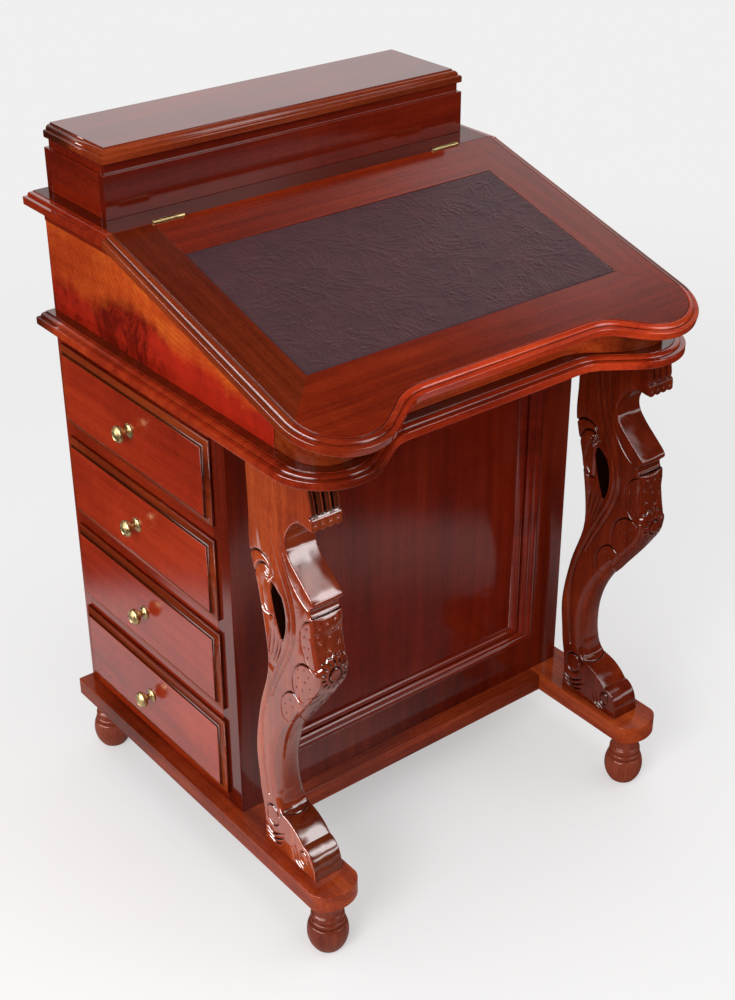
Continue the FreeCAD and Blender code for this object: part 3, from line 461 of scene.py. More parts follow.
class Shop:
    """Gives each board its own material, with the pattern shifted by `offset` metres a board."""

    count = 0
    offset = 0.37

    @classmethod
    def mahogany(cls, obj: Object, finish: Finish, grain: Grain) -> None:
        """Args: obj: the board. finish: its colour. grain: its grain direction."""
        cls.count += 1
        cls.dress(obj, finish.value.make(f"mahogany_{obj.name}", grain, cls.offset * cls.count))

    @classmethod
    def rim(cls, obj: Object, finish: Finish, grain: Grain, up: Point = UPWARDS) -> None:
        """Gives a board's moulded edge its own colour; where that colour is lighter than the flat
        face's, it is painted light on the edge.

        Args:
            obj: the board, already dressed.
            finish: the edge's colour.
            grain: its grain direction.
            up: the way the board's flat face looks.
        """
        shift = cls.offset * cls.count + 0.2
        obj.data.materials.append(finish.value.make(f"mahogany_{obj.name}_rim", grain, shift))
        heights = [face.center.dot(Vector(up)) for face in obj.data.polygons]
        top = max(heights) - 0.4 * MM
        for face, height in zip(obj.data.polygons, heights):
            face.material_index = int(height < top)

    @staticmethod
    def paint_shade_along(mesh: Mesh, stops: Outline, up: Point = UPWARDS) -> None:
        """Paints shade onto a board's edge, darker by place along its length.

        Args:
            mesh: the board.
            stops: positions on X in millimetres and how dark the painted shade is there.
            up: the way the board's flat face looks.
        """
        places, shades = zip(*stops)
        heights = [corner.co.dot(Vector(up)) for corner in mesh.vertices]
        top = max(heights) - 0.3 * MM
        for corner, height, mark in zip(mesh.vertices, heights, mesh.attributes["hollow"].data):
            if height < top:
                mark.value = max(mark.value, np.interp(corner.co.x / MM, places, shades))

    @classmethod
    def plain(cls, obj: Object, grain: Grain) -> None:
        """Args: obj: an unpolished board. grain: its grain direction."""
        cls.count += 1
        cls.dress(obj, PlainWood().make(f"plain_{obj.name}", grain, cls.offset * cls.count))

    @classmethod
    def brass(cls, obj: Object) -> None:
        """Args: obj: a metal fitting."""
        cls.dress(obj, AgedBrass().make(f"brass_{obj.name}"))

    @staticmethod
    def dress(obj: Object, material: Material) -> None:
        """Args: obj: a piece or node. material: what covers it."""
        obj.data.materials.clear()
        obj.data.materials.append(material)


# ---------------------------------------------------------------- mesh building
def solid_parts(node: str) -> list[tuple[Array, Array]]:
    """Splits a node's mesh into its solids.

    Args:
        node: the node's name.

    Returns:
        For each solid, its points and its triangles.
    """
    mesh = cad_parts[node].data
    points = column(mesh.vertices, "co", 3)
    corners = column(mesh.loops, "vertex_index", 1, np.int64)
    _, first, same = np.unique(np.round(points, 7), axis=0, return_index=True, return_inverse=True)
    faces = same.ravel()[corners].reshape(-1, 3)
    faces = faces[(faces != np.roll(faces, 1, axis=1)).all(axis=1)]
    welded = points[first]
    labels, before = np.arange(len(welded)), np.zeros(0, int)
    while not np.array_equal(labels, before):
        before = labels.copy()
        np.minimum.at(labels, faces, labels[faces].min(axis=1, keepdims=True))
    owners = labels[faces[:, 0]]
    parts = []
    for owner in dict.fromkeys(owners.tolist()):
        used, local = np.unique(faces[owners == owner].ravel(), return_inverse=True)
        parts.append((welded[used], local.reshape(-1, 3)))
    return parts


def column(items: Any, key: str, wide: int = 1, kind: type = float) -> Array:
    """One property of a mesh's vertices, loops or polygons.

    Args:
        items: the collection.
        key: the property.
        wide: how many numbers each item has.
        kind: what kind they are.

    Returns:
        The values, in rows if `wide` is over 1.
    """
    values = np.empty(len(items) * wide, kind)
    items.foreach_get(key, values)
    return values.reshape(-1, wide) if wide > 1 else values


def shade_smooth(mesh: Mesh, crease: float | None = None) -> None:
    """Shades a mesh smooth. Args: mesh: it. crease: degrees past which an edge stays sharp."""
    mesh.polygons.foreach_set("use_smooth", np.ones(len(mesh.polygons), bool))
    if crease is not None:
        mesh.set_sharp_from_angle(angle=math.radians(crease))


def smooth_by_area(mesh: Mesh) -> None:
    """Smooths a mesh, with each corner's normal led by the largest faces. Args: mesh: the mesh."""
    shade_smooth(mesh)
    owners = np.repeat(np.arange(len(mesh.polygons)),
                       column(mesh.polygons, "loop_total", 1, np.int64))
    weighted = column(mesh.polygons, "normal", 3) * column(mesh.polygons, "area")[:, None]
    sums = np.zeros((len(mesh.vertices), 3))
    np.add.at(sums, column(mesh.loops, "vertex_index", 1, np.int64), weighted[owners])
    lengths = np.linalg.norm(sums, axis=1, keepdims=True)
    mesh.normals_split_custom_set_from_vertices((sums / np.maximum(lengths, 1e-20)).tolist())


def linked(name: str, data: bpy.types.ID) -> Object:
    """Args: name: the object's name. data: what it shows. Returns: the object, in the scene."""
    obj = bpy.data.objects.new(name, data)
    bpy.context.scene.collection.objects.link(obj)
    return obj


def place_mesh(name: str, mesh: Mesh, body: str, replaced: Sequence[str] = ()) -> Object:
    """Links a finished mesh to the scene as one piece.

    Args:
        name: the piece's name.
        mesh: its mesh, in place.
        body: the body it rides on.
        replaced: the nodes it stands for.

    Returns:
        The piece.
    """
    obj = linked(name, mesh)
    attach(obj, body)
    if replaced:
        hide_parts(*replaced)
    log.info("%s: %d faces", name, len(mesh.polygons))
    return obj


def mesh_from(bm: BMesh, name: str) -> Mesh:
    """Args: bm: the faces, freed here. name: the mesh's name. Returns: the mesh."""
    mesh = bpy.data.meshes.new(name)
    bm.to_mesh(mesh)
    bm.free()
    return mesh


def face_out(bm: BMesh) -> None:
    """Turns a drawing's faces outwards. Args: bm: the drawing."""
    bmesh.ops.recalc_face_normals(bm, faces=bm.faces)


def move(bm: BMesh, matrix: Matrix) -> None:
    """Moves a drawing. Args: bm: the drawing. matrix: the move."""
    bmesh.ops.transform(bm, matrix=matrix, verts=bm.verts)


def absorb(bm: BMesh, part: BMesh) -> None:
    """Adds one drawing to another. Args: bm: what grows. part: what is added, freed here."""
    mesh = mesh_from(part, "part")
    bm.from_mesh(mesh)
    bpy.data.meshes.remove(mesh)


def board(bm: BMesh, name: str, body: str, replaced: Sequence[str], finish: Finish,
          grain: Grain) -> Object:
    """Ends a polished board.

    Args:
        bm: its faces, freed here.
        name: the piece's name.
        body: the body it rides on.
        replaced: the nodes it stands for.
        finish: its colour.
        grain: its grain direction.

    Returns:
        The piece.
    """
    mesh = mesh_from(bm, name)
    smooth_by_area(mesh)
    piece = place_mesh(name, mesh, body, replaced)
    Shop.mahogany(piece, finish, grain)
    return piece


def box(spans: Sequence[Pair], side: int = 1) -> BMesh:
    """Args: spans: limits on X, Y and Z in millimetres. side: -1 mirrors X. Returns: the block."""
    bm = bmesh.new()
    bmesh.ops.create_cube(bm, size=1)
    for vert in bm.verts:
        x, y, z = (pair[0] if c < 0 else pair[1] for c, pair in zip(vert.co, spans))
        vert.co = (side * x * MM, y * MM, z * MM)
    face_out(bm)
    return bm


def ease_edges(bm: BMesh, ease: float, rounds: int = 2, sharper: float = 28) -> None:
    """Rounds a mesh's sharp edges.

    Args:
        bm: the mesh.
        ease: the rounding's width in metres.
        rounds: faces across each rounding.
        sharper: least angle of an edge that is rounded, in degrees.
    """
    sharp = [e for e in bm.edges
             if len(e.link_faces) == 2 and e.calc_face_angle() > math.radians(sharper)]
    bmesh.ops.bevel(bm, geom=sharp, offset=ease, segments=rounds, affect="EDGES", profile=0.5,
                    clamp_overlap=True)


def eased(node: str, body: str, ease: float = 0.7 * MM,
          rounds: int = 2) -> Object:
    """Rebuilds a node's solids with softly rounded edges, in the same place.

    Args:
        node: the node to stand for.
        body: the body it rides on.
        ease: the rounding's width in metres.
        rounds: faces across each rounding.

    Returns:
        The new piece.
    """
    bm = bmesh.new()
    for points, faces in solid_parts(node):
        verts = [bm.verts.new(p) for p in points]
        for face in faces:
            corners = [verts[i] for i in face]
            if bm.faces.get(corners) is None:
                bm.faces.new(corners)
    bm.normal_update()
    bmesh.ops.dissolve_limit(bm, angle_limit=math.radians(0.5), verts=bm.verts, edges=bm.edges)
    ease_edges(bm, ease, rounds)
    mesh = mesh_from(bm, node)
    smooth_by_area(mesh)
    return place_mesh(f"{node}_piece", mesh, body, [node])


def spun(name: str, profile: Outline, steps: int = 64) -> Mesh:
    """Turned shape about Z.

    Args:
        name: the mesh's name.
        profile: (radius, height) from bottom to top, closed on the axis at both ends.
        steps: sides round the axis.

    Returns:
        The mesh, at the origin.
    """
    bm = bmesh.new()
    angles = [math.tau * i / steps for i in range(steps)]
    rings = [[bm.verts.new((r * math.cos(a), r * math.sin(a), z)) for a in angles]
             for r, z in profile if r > 1e-7]
    low = bm.verts.new((0, 0, profile[0][1]))
    high = bm.verts.new((0, 0, profile[-1][1]))
    for i in range(steps):
        j = (i + 1) % steps
        bm.faces.new((low, rings[0][j], rings[0][i]))
        bm.faces.new((high, rings[-1][i], rings[-1][j]))
        for a, b in zip(rings, rings[1:]):
            bm.faces.new((a[i], a[j], b[j], b[i]))
    face_out(bm)
    mesh = mesh_from(bm, name)
    shade_smooth(mesh, 38)
    return mesh


def arc_points(start: Pair, through: Pair, end: Pair, steps: int) -> list[Pair]:
    """Points on the circle through three points.

    Args:
        start, through, end: the three points.
        steps: how many spans.

    Returns:
        The points, without the start.
    """
    (ax, ay), (bx, by), (cx, cy) = start, through, end
    d = 2 * (ax * (by - cy) + bx * (cy - ay) + cx * (ay - by))
    a2, b2, c2 = ax * ax + ay * ay, bx * bx + by * by, cx * cx + cy * cy
    ux = (a2 * (by - cy) + b2 * (cy - ay) + c2 * (ay - by)) / d
    uy = (a2 * (cx - bx) + b2 * (ax - cx) + c2 * (bx - ax)) / d
    radius = math.hypot(ax - ux, ay - uy)
    first, middle, last = (math.atan2(y - uy, x - ux) for x, y in (start, through, end))
    if (middle - first) % math.tau <= (last - first) % math.tau:
        sweep = (last - first) % math.tau
    else:
        sweep = -((first - last) % math.tau)
    turns = [first + sweep * i / steps for i in range(1, steps + 1)]
    return [(ux + radius * math.cos(a), uy + radius * math.sin(a)) for a in turns]


def profile_line(*runs: Sequence[Any]) -> list[Pair]:
    """Profile of straight runs and arcs, from millimetres.

    Args:
        runs: each is points, or an arc's start, middle and end and its spans; an arc leaves out
            its start.

    Returns:
        The points in metres.
    """
    line: list[Pair] = []
    for run in runs:
        line += arc_points(*run) if isinstance(run[-1], int) else run
    return [(a * MM, b * MM) for a, b in line]


def smooth_line(points: Outline, steps: int = 8) -> list[Pair]:
    """Smooth curve through points.

    Args:
        points: the points in order.
        steps: spans between two of them.

    Returns:
        Points on the curve, ends included.
    """
    given = np.array(points, float)
    padded = np.vstack([2 * given[0] - given[1], given, 2 * given[-1] - given[-2]])
    line = [tuple(given[0])]
    for before, start, end, after in zip(padded, padded[1:], padded[2:], padded[3:]):
        gap = np.linalg.norm(end - start)
        lead = (end - before) / max(gap + np.linalg.norm(start - before), 1e-12) * gap
        tail = (after - start) / max(gap + np.linalg.norm(after - end), 1e-12) * gap
        for i in range(1, steps + 1):
            t = i / steps
            line.append(tuple((2 * t ** 3 - 3 * t ** 2 + 1) * start
                              + (t ** 3 - 2 * t ** 2 + t) * lead
                              + (3 * t ** 2 - 2 * t ** 3) * end + (t ** 3 - t ** 2) * tail))
    return line


@dataclass
class Repeat:
    """Copies of one small pattern at a list of places, made in Geometry Nodes.

    `turn` is the axis that each copy is turned about, by up to `spread` radians, with a fixed seed.
    """

    pattern: Mesh
    turn: Point = (0.0, 0.0, 1.0)
    spread: float = 0.0
    seed: int = 7

    def build(self, name: str, places: Sequence[Point], material: Material) -> Mesh:
        """Makes the copies as one plain mesh.

        Args:
            name: the mesh's name.
            places: where each copy's origin goes.
            material: what covers them.

        Returns:
            The mesh.
        """
        dots = bpy.data.meshes.new(f"{name}_places")
        dots.from_pydata(list(places), [], [])
        holder = linked(f"{name}_holder", dots)
        model = linked(f"{name}_pattern", self.pattern)
        tree = self._tree(name)
        modifier = holder.modifiers.new("copies", "NODES")
        modifier.node_group = tree
        values = {"Pattern": model, "Turn": self.turn, "Spread": self.spread, "Seed": self.seed,
                  "Material": material}
        for item in tree.interface.items_tree:
            if item.in_out == "INPUT" and item.name in values:
                modifier[item.identifier] = values[item.name]
        holder.update_tag()
        graph = bpy.context.evaluated_depsgraph_get()
        mesh = bpy.data.meshes.new_from_object(holder.evaluated_get(graph))
        mesh.name = name
        holder.modifiers.clear()
        for obj in (holder, model):
            bpy.data.objects.remove(obj)
        return mesh

    @staticmethod
    def _tree(name: str) -> bpy.types.NodeTree:
        """Args: name: the tree's name. Returns: a tree with the inputs that `build` sets."""
        tree = bpy.data.node_groups.new(f"{name}_copies", "GeometryNodeTree")
        new_input = tree.interface.new_socket
        new_input("Geometry", in_out="OUTPUT", socket_type="NodeSocketGeometry")
        for label, kind in (("Geometry", "Geometry"), ("Pattern", "Object"), ("Turn", "Vector"),
                            ("Spread", "Float"), ("Seed", "Int"), ("Material", "Material")):
            new_input(label, in_out="INPUT", socket_type=f"NodeSocket{kind}")

        def add(kind: str, links: dict[Any, Any], **settings: Any) -> bpy.types.Node:
            """Args: kind: its type. links: inputs. settings: properties. Returns: the node."""
            made = tree.nodes.new(kind)
            for key, value in settings.items():
                setattr(made, key, value)
            for key, link in links.items():
                tree.links.new(link, made.inputs[key])
            return made

        given = tree.nodes.new("NodeGroupInput").outputs
        model = add("GeometryNodeObjectInfo", {"Object": given["Pattern"]})
        chance = add("FunctionNodeRandomValue", {"Seed": given["Seed"]}, data_type="FLOAT")
        angle = add("ShaderNodeMath", {0: chance.outputs["Value"], 1: given["Spread"]},
                    operation="MULTIPLY")
        turn = add("ShaderNodeVectorMath", {0: given["Turn"], "Scale": angle.outputs[0]},
                   operation="SCALE")
        euler = add("FunctionNodeEulerToRotation", {0: turn.outputs[0]})
        copies = add("GeometryNodeInstanceOnPoints", {
            "Points": given["Geometry"], "Instance": model.outputs["Geometry"],
            "Rotation": euler.outputs[0]})
        real = add("GeometryNodeRealizeInstances", {"Geometry": copies.outputs[0]})
        covered = add("GeometryNodeSetMaterial", {"Geometry": real.outputs[0],
                                                  "Material": given["Material"]})
        add("NodeGroupOutput", {0: covered.outputs[0]})
        return tree


# ---------------------------------------------------------------- moulded boards
@dataclass(frozen=True)
class Serpentine:
    """Plan outline of a board with a serpentine front, in millimetres."""

    middle_y: float
    bulge_y: float
    middle_half: float
    bulge_x: float
    side_x: float
    back_y: float
    angle: float = math.radians(35)
    hollow_share: float = 0.43

    def path(self, steps: int = 14) -> tuple[Array, Array]:
        """Walks the outline from the back left corner round the front to the back right one.

        Args:
            steps: spans in each arc.

        Returns:
            The points in metres and the outward normals.
        """
        run = self.bulge_x - self.middle_half
        drop = self.middle_y - self.bulge_y
        radii = (run * math.tan(self.angle) - drop) / (1 / math.cos(self.angle) - 1)
        hollow = self.hollow_share * radii
        swell = radii - hollow
        corner = self.side_x - self.bulge_x
        front = self.bulge_y + corner
        walk = [(self.middle_half * i / 9, self.middle_y, 0) for i in range(9)]
        bends = [self.angle * i / steps for i in range(steps + 1)]
        turns = [-0.5 * math.pi * i / (2 * steps) for i in range(1, 2 * steps + 1)]
        for x, y, radius, angles in ((self.middle_half, self.middle_y, -hollow, bends),
                                     (self.bulge_x, self.bulge_y, swell, bends[::-1]),
                                     (self.bulge_x, self.bulge_y, corner, turns)):
            walk += [(x - radius * math.sin(t), y + radius * (1 - math.cos(t)), t) for t in angles]
        walk += [(self.side_x, front + (self.back_y - front) * i / 10, -0.5 * math.pi)
                 for i in range(1, 11)]
        right = np.array([(x, y) for x, y, _ in walk]) * MM
        ways = np.array([(-math.sin(t), -math.cos(t)) for _, _, t in walk])
        flip = np.array([-1, 1])
        return np.vstack([right[:0:-1] * flip, right]), np.vstack([ways[:0:-1] * flip, ways])


@dataclass(frozen=True)
class MouldedEdge:
    """The desk's moulded edge: flat nose, small step, ovolo and quirk. Sizes in millimetres."""

    thick: float = 13.5
    drop: float = 4.0
    bottom_round: float = 1.5
    step: float = 6.0
    ovolo_wide: float = 5.6
    ovolo_tall: float = 3.3
    quirk: float = 13.0

    def profile(self) -> list[Pair]:
        """(inset from the nose, height over the underside) in metres, from the underside up."""
        nose_top = self.thick - self.drop
        r = self.bottom_round
        line = [(30, 0), (r + 1.5, 0), (r, 0)]
        line += [(r - r * math.sin(a), r - r * math.cos(a))
                 for a in np.radians([22.5, 45, 67.5, 90])]
        line += [(0, nose_top - 1.3), (0.12, nose_top - 0.75), (0.45, nose_top - 0.3),
                 (1, nose_top - 0.05), (1.8, nose_top), (self.step - 0.6, nose_top),
                 (self.step - 0.15, nose_top + 0.1), (self.step, nose_top + 0.4)]
        for a in np.radians([10, 22, 36, 50, 63, 75, 86]):
            line.append((self.step + self.ovolo_wide * (1 - math.cos(a)),
                         nose_top + 0.4 + (self.ovolo_tall - 0.4) * math.sin(a)))
        top = nose_top + self.ovolo_tall
        line += [(self.quirk - 0.9, top - 0.1), (self.quirk - 0.35, top - 0.45),
                 (self.quirk - 0.1, top - 0.45), (self.quirk, top),
                 (self.quirk + 0.05, self.thick - 0.2), (self.quirk + 0.3, self.thick)]
        return [(inset * MM, height * MM) for inset, height in line]


def hollows(profile: Outline) -> list[float]:
    """How far a moulding turns inwards. Args: profile: its corners. Returns: 0 to 1 for each."""
    marks = [0]
    for a, b, c in zip(profile, profile[1:], profile[2:]):
        first, second = Vector(b) - Vector(a), Vector(c) - Vector(b)
        marks.append(min(1, max(0, -math.degrees(first.angle_signed(second, 0)) / 30)))
    return [*marks, 0]


def ringed_block(corners: Array, ways: Array, profile: Outline, quirk_shade: float = 1,
                 closed: bool = True, base: float = 0) -> BMesh:
    """Block whose sides follow a profile.

    Args:
        corners: the outline's corners.
        ways: outward direction at each corner.
        profile: (inset, height) pairs, from the first face to the last.
        quirk_shade: how dark its hollows are painted, for old polish and painted shade in the
            quirks.
        closed: whether moulded sides join the last corner to the first, or else one flat face.
        base: height that the profile's heights are taken from.

    Returns:
        The closed block, in its own plane.
    """
    bm = bmesh.new()
    layer = bm.verts.layers.float.new("hollow")
    count = len(corners)
    rings = []
    # Each ring's inward turn is marked for painted shade and old polish.
    for (inset, height), mark in zip(profile, hollows(profile)):
        rings.append([bm.verts.new((x, y, base + height)) for x, y in corners - ways * inset])
        for vert in rings[-1]:
            vert[layer] = mark * quirk_shade
    for low, high in zip(rings, rings[1:]):
        for i in range(count if closed else count - 1):
            j = (i + 1) % count
            bm.faces.new((low[i], low[j], high[j], high[i]))
    bm.faces.new(list(reversed(rings[0])))
    bm.faces.new(rings[-1])
    if not closed:
        bm.faces.new([ring[-1] for ring in rings] + [ring[0] for ring in reversed(rings)])
    face_out(bm)
    return bm


def swept_board(path: tuple[Array, Array], profile: Outline, bottom: float) -> BMesh:
    """Board with a moulded edge along a path and a flat back between the path's two ends.

    Args:
        path: the nose's outline and its outward normals.
        profile: (inset, height) pairs from the underside up.
        bottom: the underside's height.

    Returns:
        The closed board.
    """
    return ringed_block(*path, profile, closed=False, base=bottom)


def cut_away(bm: BMesh, point: Point, normal: Point, ease: float = 0) -> None:
    """Cuts a closed mesh with a plane, drops the side the normal points to, and closes the cut.

    Args:
        bm: the mesh.
        point: a point on the plane.
        normal: the side that goes.
        ease: rounding of the cut's rim in metres.
    """
    cut = bmesh.ops.bisect_plane(bm, geom=bm.verts[:] + bm.edges[:] + bm.faces[:], dist=1e-6,
                                 plane_co=point, plane_no=normal, clear_outer=True)
    rim = [e for e in cut["geom_cut"] if isinstance(e, bmesh.types.BMEdge)]
    bmesh.ops.edgeloop_fill(bm, edges=rim)
    bm.normal_update()
    if ease:
        rim = [e for e in rim if e.is_valid and len(e.link_faces) == 2]
        bmesh.ops.bevel(bm, geom=rim, offset=ease, segments=1, affect="EDGES", profile=0.5,
                        clamp_overlap=True)


def rectangle_path(x0: float, x1: float, y0: float, y1: float) -> tuple[Array, Array]:
    """Closed rectangle whose normals point outwards along the mitres.

    Args:
        x0, x1, y0, y1: its limits.

    Returns:
        Corners and mitre directions, one unit of inset each.
    """
    corners = np.array([(x0, y0), (x1, y0), (x1, y1), (x0, y1)], float)
    ways = np.array([(-1, -1), (1, -1), (1, 1), (-1, 1)], float)
    return corners, ways


def outline_block(outline: Outline, low: float, high: float, ease: float,
                  around: int = 3) -> BMesh:
    """Upright block over a closed outline with rounded top and bottom arrises.

    Args:
        outline: corners in order, in metres.
        low, high: its heights.
        ease: the rounding's radius.
        around: spans in each rounding.

    Returns:
        The closed block.
    """
    corners = np.array(outline, float)
    before, after = np.roll(corners, 1, axis=0), np.roll(corners, -1, axis=0)

    def side_way(a: Array, b: Array) -> Array:
        """Args: a, b: ends of the sides. Returns: their outward unit normals."""
        run = b - a
        way = np.stack([run[:, 1], -run[:, 0]], axis=1)
        return way / np.linalg.norm(way, axis=1, keepdims=True)

    first, second = side_way(before, corners), side_way(corners, after)
    mitre = first + second
    mitre /= np.maximum((mitre * first).sum(axis=1, keepdims=True), 0.3)
    bends = [0.5 * math.pi * i / around for i in range(around + 1)]
    turn = [(ease * (1 - math.sin(a)), ease * (1 - math.cos(a))) for a in bends]
    profile = [(inset, low + rise) for inset, rise in turn]
    profile += [(inset, high - rise) for inset, rise in reversed(turn)]
    return ringed_block(corners, mitre, profile)


# ---------------------------------------------------------------- carving
@dataclass(frozen=True)
class Gouge:
    """How a line is carved, in millimetres.

    `deep` is its depth, or a ridge's height if negative. `taper` is how much it thins towards its
    ends, 0 to 1. `dark` is how much darker it is painted, for old polish and painted shade in it,
    or how much paler if negative, for wear and painted highlight. `spans` is how many spans a
    smooth line has between two points, 0 for straight ones.
    """

    half_width: float
    deep: float
    taper: float = 0.0
    dark: float = 0.0
    spans: int = 0


CutTable = Sequence[tuple[Gouge, Sequence[Outline]]]


def oval(centre: Pair, radii: Pair, first: float, last: float, count: int) -> list[Pair]:
    """Part of an oval.

    Args:
        centre: its middle.
        radii: half its width and height.
        first, last: where it starts and ends, in degrees.
        count: how many points.

    Returns:
        The points.
    """
    return [(centre[0] + radii[0] * math.cos(a), centre[1] + radii[1] * math.sin(a))
            for a in np.linspace(math.radians(first), math.radians(last), count)]


@dataclass
class Relief:
    """Depth map over a plane, cut with strokes and raised with leaves. All in millimetres."""

    first: Array
    second: Array
    depth: Array = field(init=False)
    # Painted marks: darker for old polish and painted shade in the cuts, paler where negative for
    # wear and painted highlight.
    grime_and_shade: Array = field(init=False)

    def __post_init__(self) -> None:
        """Starts flat and unmarked."""
        self.depth = np.zeros((len(self.first), len(self.second)), np.float32)
        self.grime_and_shade = np.zeros_like(self.depth)

    def _window(self, points: Array, margin: float) -> tuple[slice, slice]:
        """Args: points: a figure. margin: room round it. Returns: the rows and columns it needs."""
        low, high = points.min(axis=0) - margin, points.max(axis=0) + margin
        rows = slice(*np.searchsorted(self.first, (low[0], high[0])))
        cols = slice(*np.searchsorted(self.second, (low[1], high[1])))
        return rows, cols

    def carve(self, table: CutTable) -> None:
        """Cuts a table of lines. Args: table: each gouge with its lines."""
        for gouge, lines in table:
            for line in lines:
                self.stroke(line, gouge)

    def stroke(self, points: Outline, gouge: Gouge) -> None:
        """Cuts one line. Args: points: its points. gouge: how it is cut."""
        line = np.array(smooth_line(points, gouge.spans) if gouge.spans else points, float)
        half_width, dark = gouge.half_width, gouge.dark
        rows, cols = self._window(line, half_width)
        a, b = np.meshgrid(self.first[rows], self.second[cols], indexing="ij")
        if not a.size:
            return
        runs = np.linalg.norm(np.diff(line, axis=0), axis=1)
        total, walked = runs.sum(), 0.0
        cut = np.zeros(a.shape, np.float32)
        for start, end, run in zip(line, line[1:], runs):
            if run < 1e-9:
                continue
            way = (end - start) / run
            along = np.clip((a - start[0]) * way[0] + (b - start[1]) * way[1], 0, run)
            gap = np.hypot(a - start[0] - along * way[0], b - start[1] - along * way[1])
            share = (walked + along) / total
            full = 1.0 - gouge.taper * np.abs(2 * share - 1) ** 2.5
            near = np.clip(gap / (half_width * full + 1e-6), 0, 1)
            cut = np.maximum(cut, full * (0.5 + 0.5 * np.cos(np.pi * near)))
            walked += run
        self.depth[rows, cols] += np.float32(gouge.deep) * cut
        spread = np.clip(1.5 * cut - 0.25, 0, 1)
        if dark > 0:
            self.grime_and_shade[rows, cols] = np.maximum(self.grime_and_shade[rows, cols], dark * spread)
        elif dark < 0:
            self.grime_and_shade[rows, cols] = np.where(spread > 0.1, dark * spread, self.grime_and_shade[rows, cols])

    def grime_and_shade_at(self, a: Array, b: Array) -> Array:
        """Args: a, b: places on the map. Returns: how dark each is."""
        rows = np.clip(np.searchsorted(self.first, a), 0, len(self.first) - 1)
        cols = np.clip(np.searchsorted(self.second, b), 0, len(self.second) - 1)
        return self.grime_and_shade[rows, cols]

    def leaf(self, outline: Outline, lift: float, soft: float) -> None:
        """Raises the inside of an outline.

        Args:
            outline: its corners.
            lift: how far, or how deep if negative.
            soft: width of its edge.
        """
        line = np.array(outline, float)
        rows, cols = self._window(line, soft)
        a, b = np.meshgrid(self.first[rows], self.second[cols], indexing="ij")
        share = np.clip(0.5 - outline_gap(outline, a, b) / soft, 0, 1)
        self.depth[rows, cols] -= np.float32(lift) * share * share * (3 - 2 * share)


def outline_gap(outline: Outline, a: Array, b: Array) -> Array:
    """Signed distance from points to a closed outline.

    Args:
        outline: its corners.
        a, b: the points' coordinates.

    Returns:
        The distances, negative inside.
    """
    line = np.array(outline, float)
    near = np.full(a.shape, 1e9)
    inside = np.zeros(a.shape, bool)
    for start, end in zip(line, np.roll(line, -1, axis=0)):
        run = end - start
        length = float(run @ run)
        if length < 1e-12:
            continue
        share = np.clip(((a - start[0]) * run[0] + (b - start[1]) * run[1]) / length, 0, 1)
        near = np.minimum(near, (a - start[0] - share * run[0]) ** 2
                          + (b - start[1] - share * run[1]) ** 2)
        if start[1] != end[1]:
            crosses = (start[1] > b) != (end[1] > b)
            inside ^= crosses & (a < (b - start[1]) * (run[0] / run[1]) + start[0])
    return np.sqrt(near) * np.where(inside, -1, 1)


def surface_net(values: Array, origin: Array, pitch: float) -> tuple[Array, Array]:
    """Skin of the region where a field is negative.

    Args:
        values: the field on a regular grid.
        origin: the grid's first point.
        pitch: its spacing.

    Returns:
        Points and four-cornered faces that point outwards.
    """
    inside = values < 0
    cells = tuple(n - 1 for n in values.shape)
    corners = [(i, j, k) for i in (0, 1) for j in (0, 1) for k in (0, 1)]

    def shifted(array: Array, corner: tuple[int, int, int]) -> Array:
        """Args: array: a grid. corner: a cell's corner. Returns: its value in each cell."""
        return array[tuple(slice(c, c + n) for c, n in zip(corner, cells))]

    count = sum(shifted(inside, corner).astype(np.uint8) for corner in corners)
    active = (count > 0) & (count < 8)
    numbers = np.full(cells, -1, np.int64)
    spots = np.argwhere(active)
    numbers[active] = np.arange(len(spots))
    level = {corner: values[tuple((spots + corner).T)] for corner in corners}
    total = np.zeros((len(spots), 3))
    hits = np.zeros(len(spots))
    for start in corners:
        for axis in range(3):
            if start[axis]:
                continue
            end = tuple(1 if i == axis else c for i, c in enumerate(start))
            a, b = level[start], level[end]
            crossed = (a < 0) != (b < 0)
            share = np.zeros(len(spots))
            share[crossed] = a[crossed] / (a[crossed] - b[crossed])
            point = np.array(start, float) + share[:, None] * np.eye(3)[axis]
            total[crossed] += point[crossed]
            hits += crossed
    points = (spots + total / hits[:, None]) * pitch + origin
    faces = []
    for axis in range(3):
        u, v = (axis + 1) % 3, (axis + 2) % 3
        low = [slice(1, -1)] * 3
        high = [slice(1, -1)] * 3
        low[axis], high[axis] = slice(0, -1), slice(1, None)
        here, there = inside[tuple(low)], inside[tuple(high)]
        edges = np.argwhere(here != there)
        outward = here[tuple(edges.T)]
        base = edges.copy()
        base[:, u] += 1
        base[:, v] += 1
        loop = []
        for du, dv in ((1, 1), (0, 1), (0, 0), (1, 0)):
            cell = base.copy()
            cell[:, u] -= du
            cell[:, v] -= dv
            loop.append(numbers[tuple(cell.T)])
        loop = np.stack(loop, axis=1)
        loop[~outward] = loop[~outward][:, ::-1]
        faces.append(loop)
    return points, np.vstack(faces)


def mesh_of(name: str, points: Array, faces: Array) -> Mesh:
    """Args: name: the mesh's name. points: in metres. faces: corner numbers. Returns: the mesh."""
    mesh = bpy.data.meshes.new(name)
    count, sides = faces.shape
    mesh.vertices.add(len(points))
    mesh.vertices.foreach_set("co", points.astype(np.float32).ravel())
    mesh.loops.add(count * sides)
    mesh.loops.foreach_set("vertex_index", faces.astype(np.int32).ravel())
    mesh.polygons.add(count)
    mesh.polygons.foreach_set("loop_start", np.arange(0, count * sides, sides, dtype=np.int32))
    mesh.update(calc_edges=True)
    mesh.validate()
    return mesh


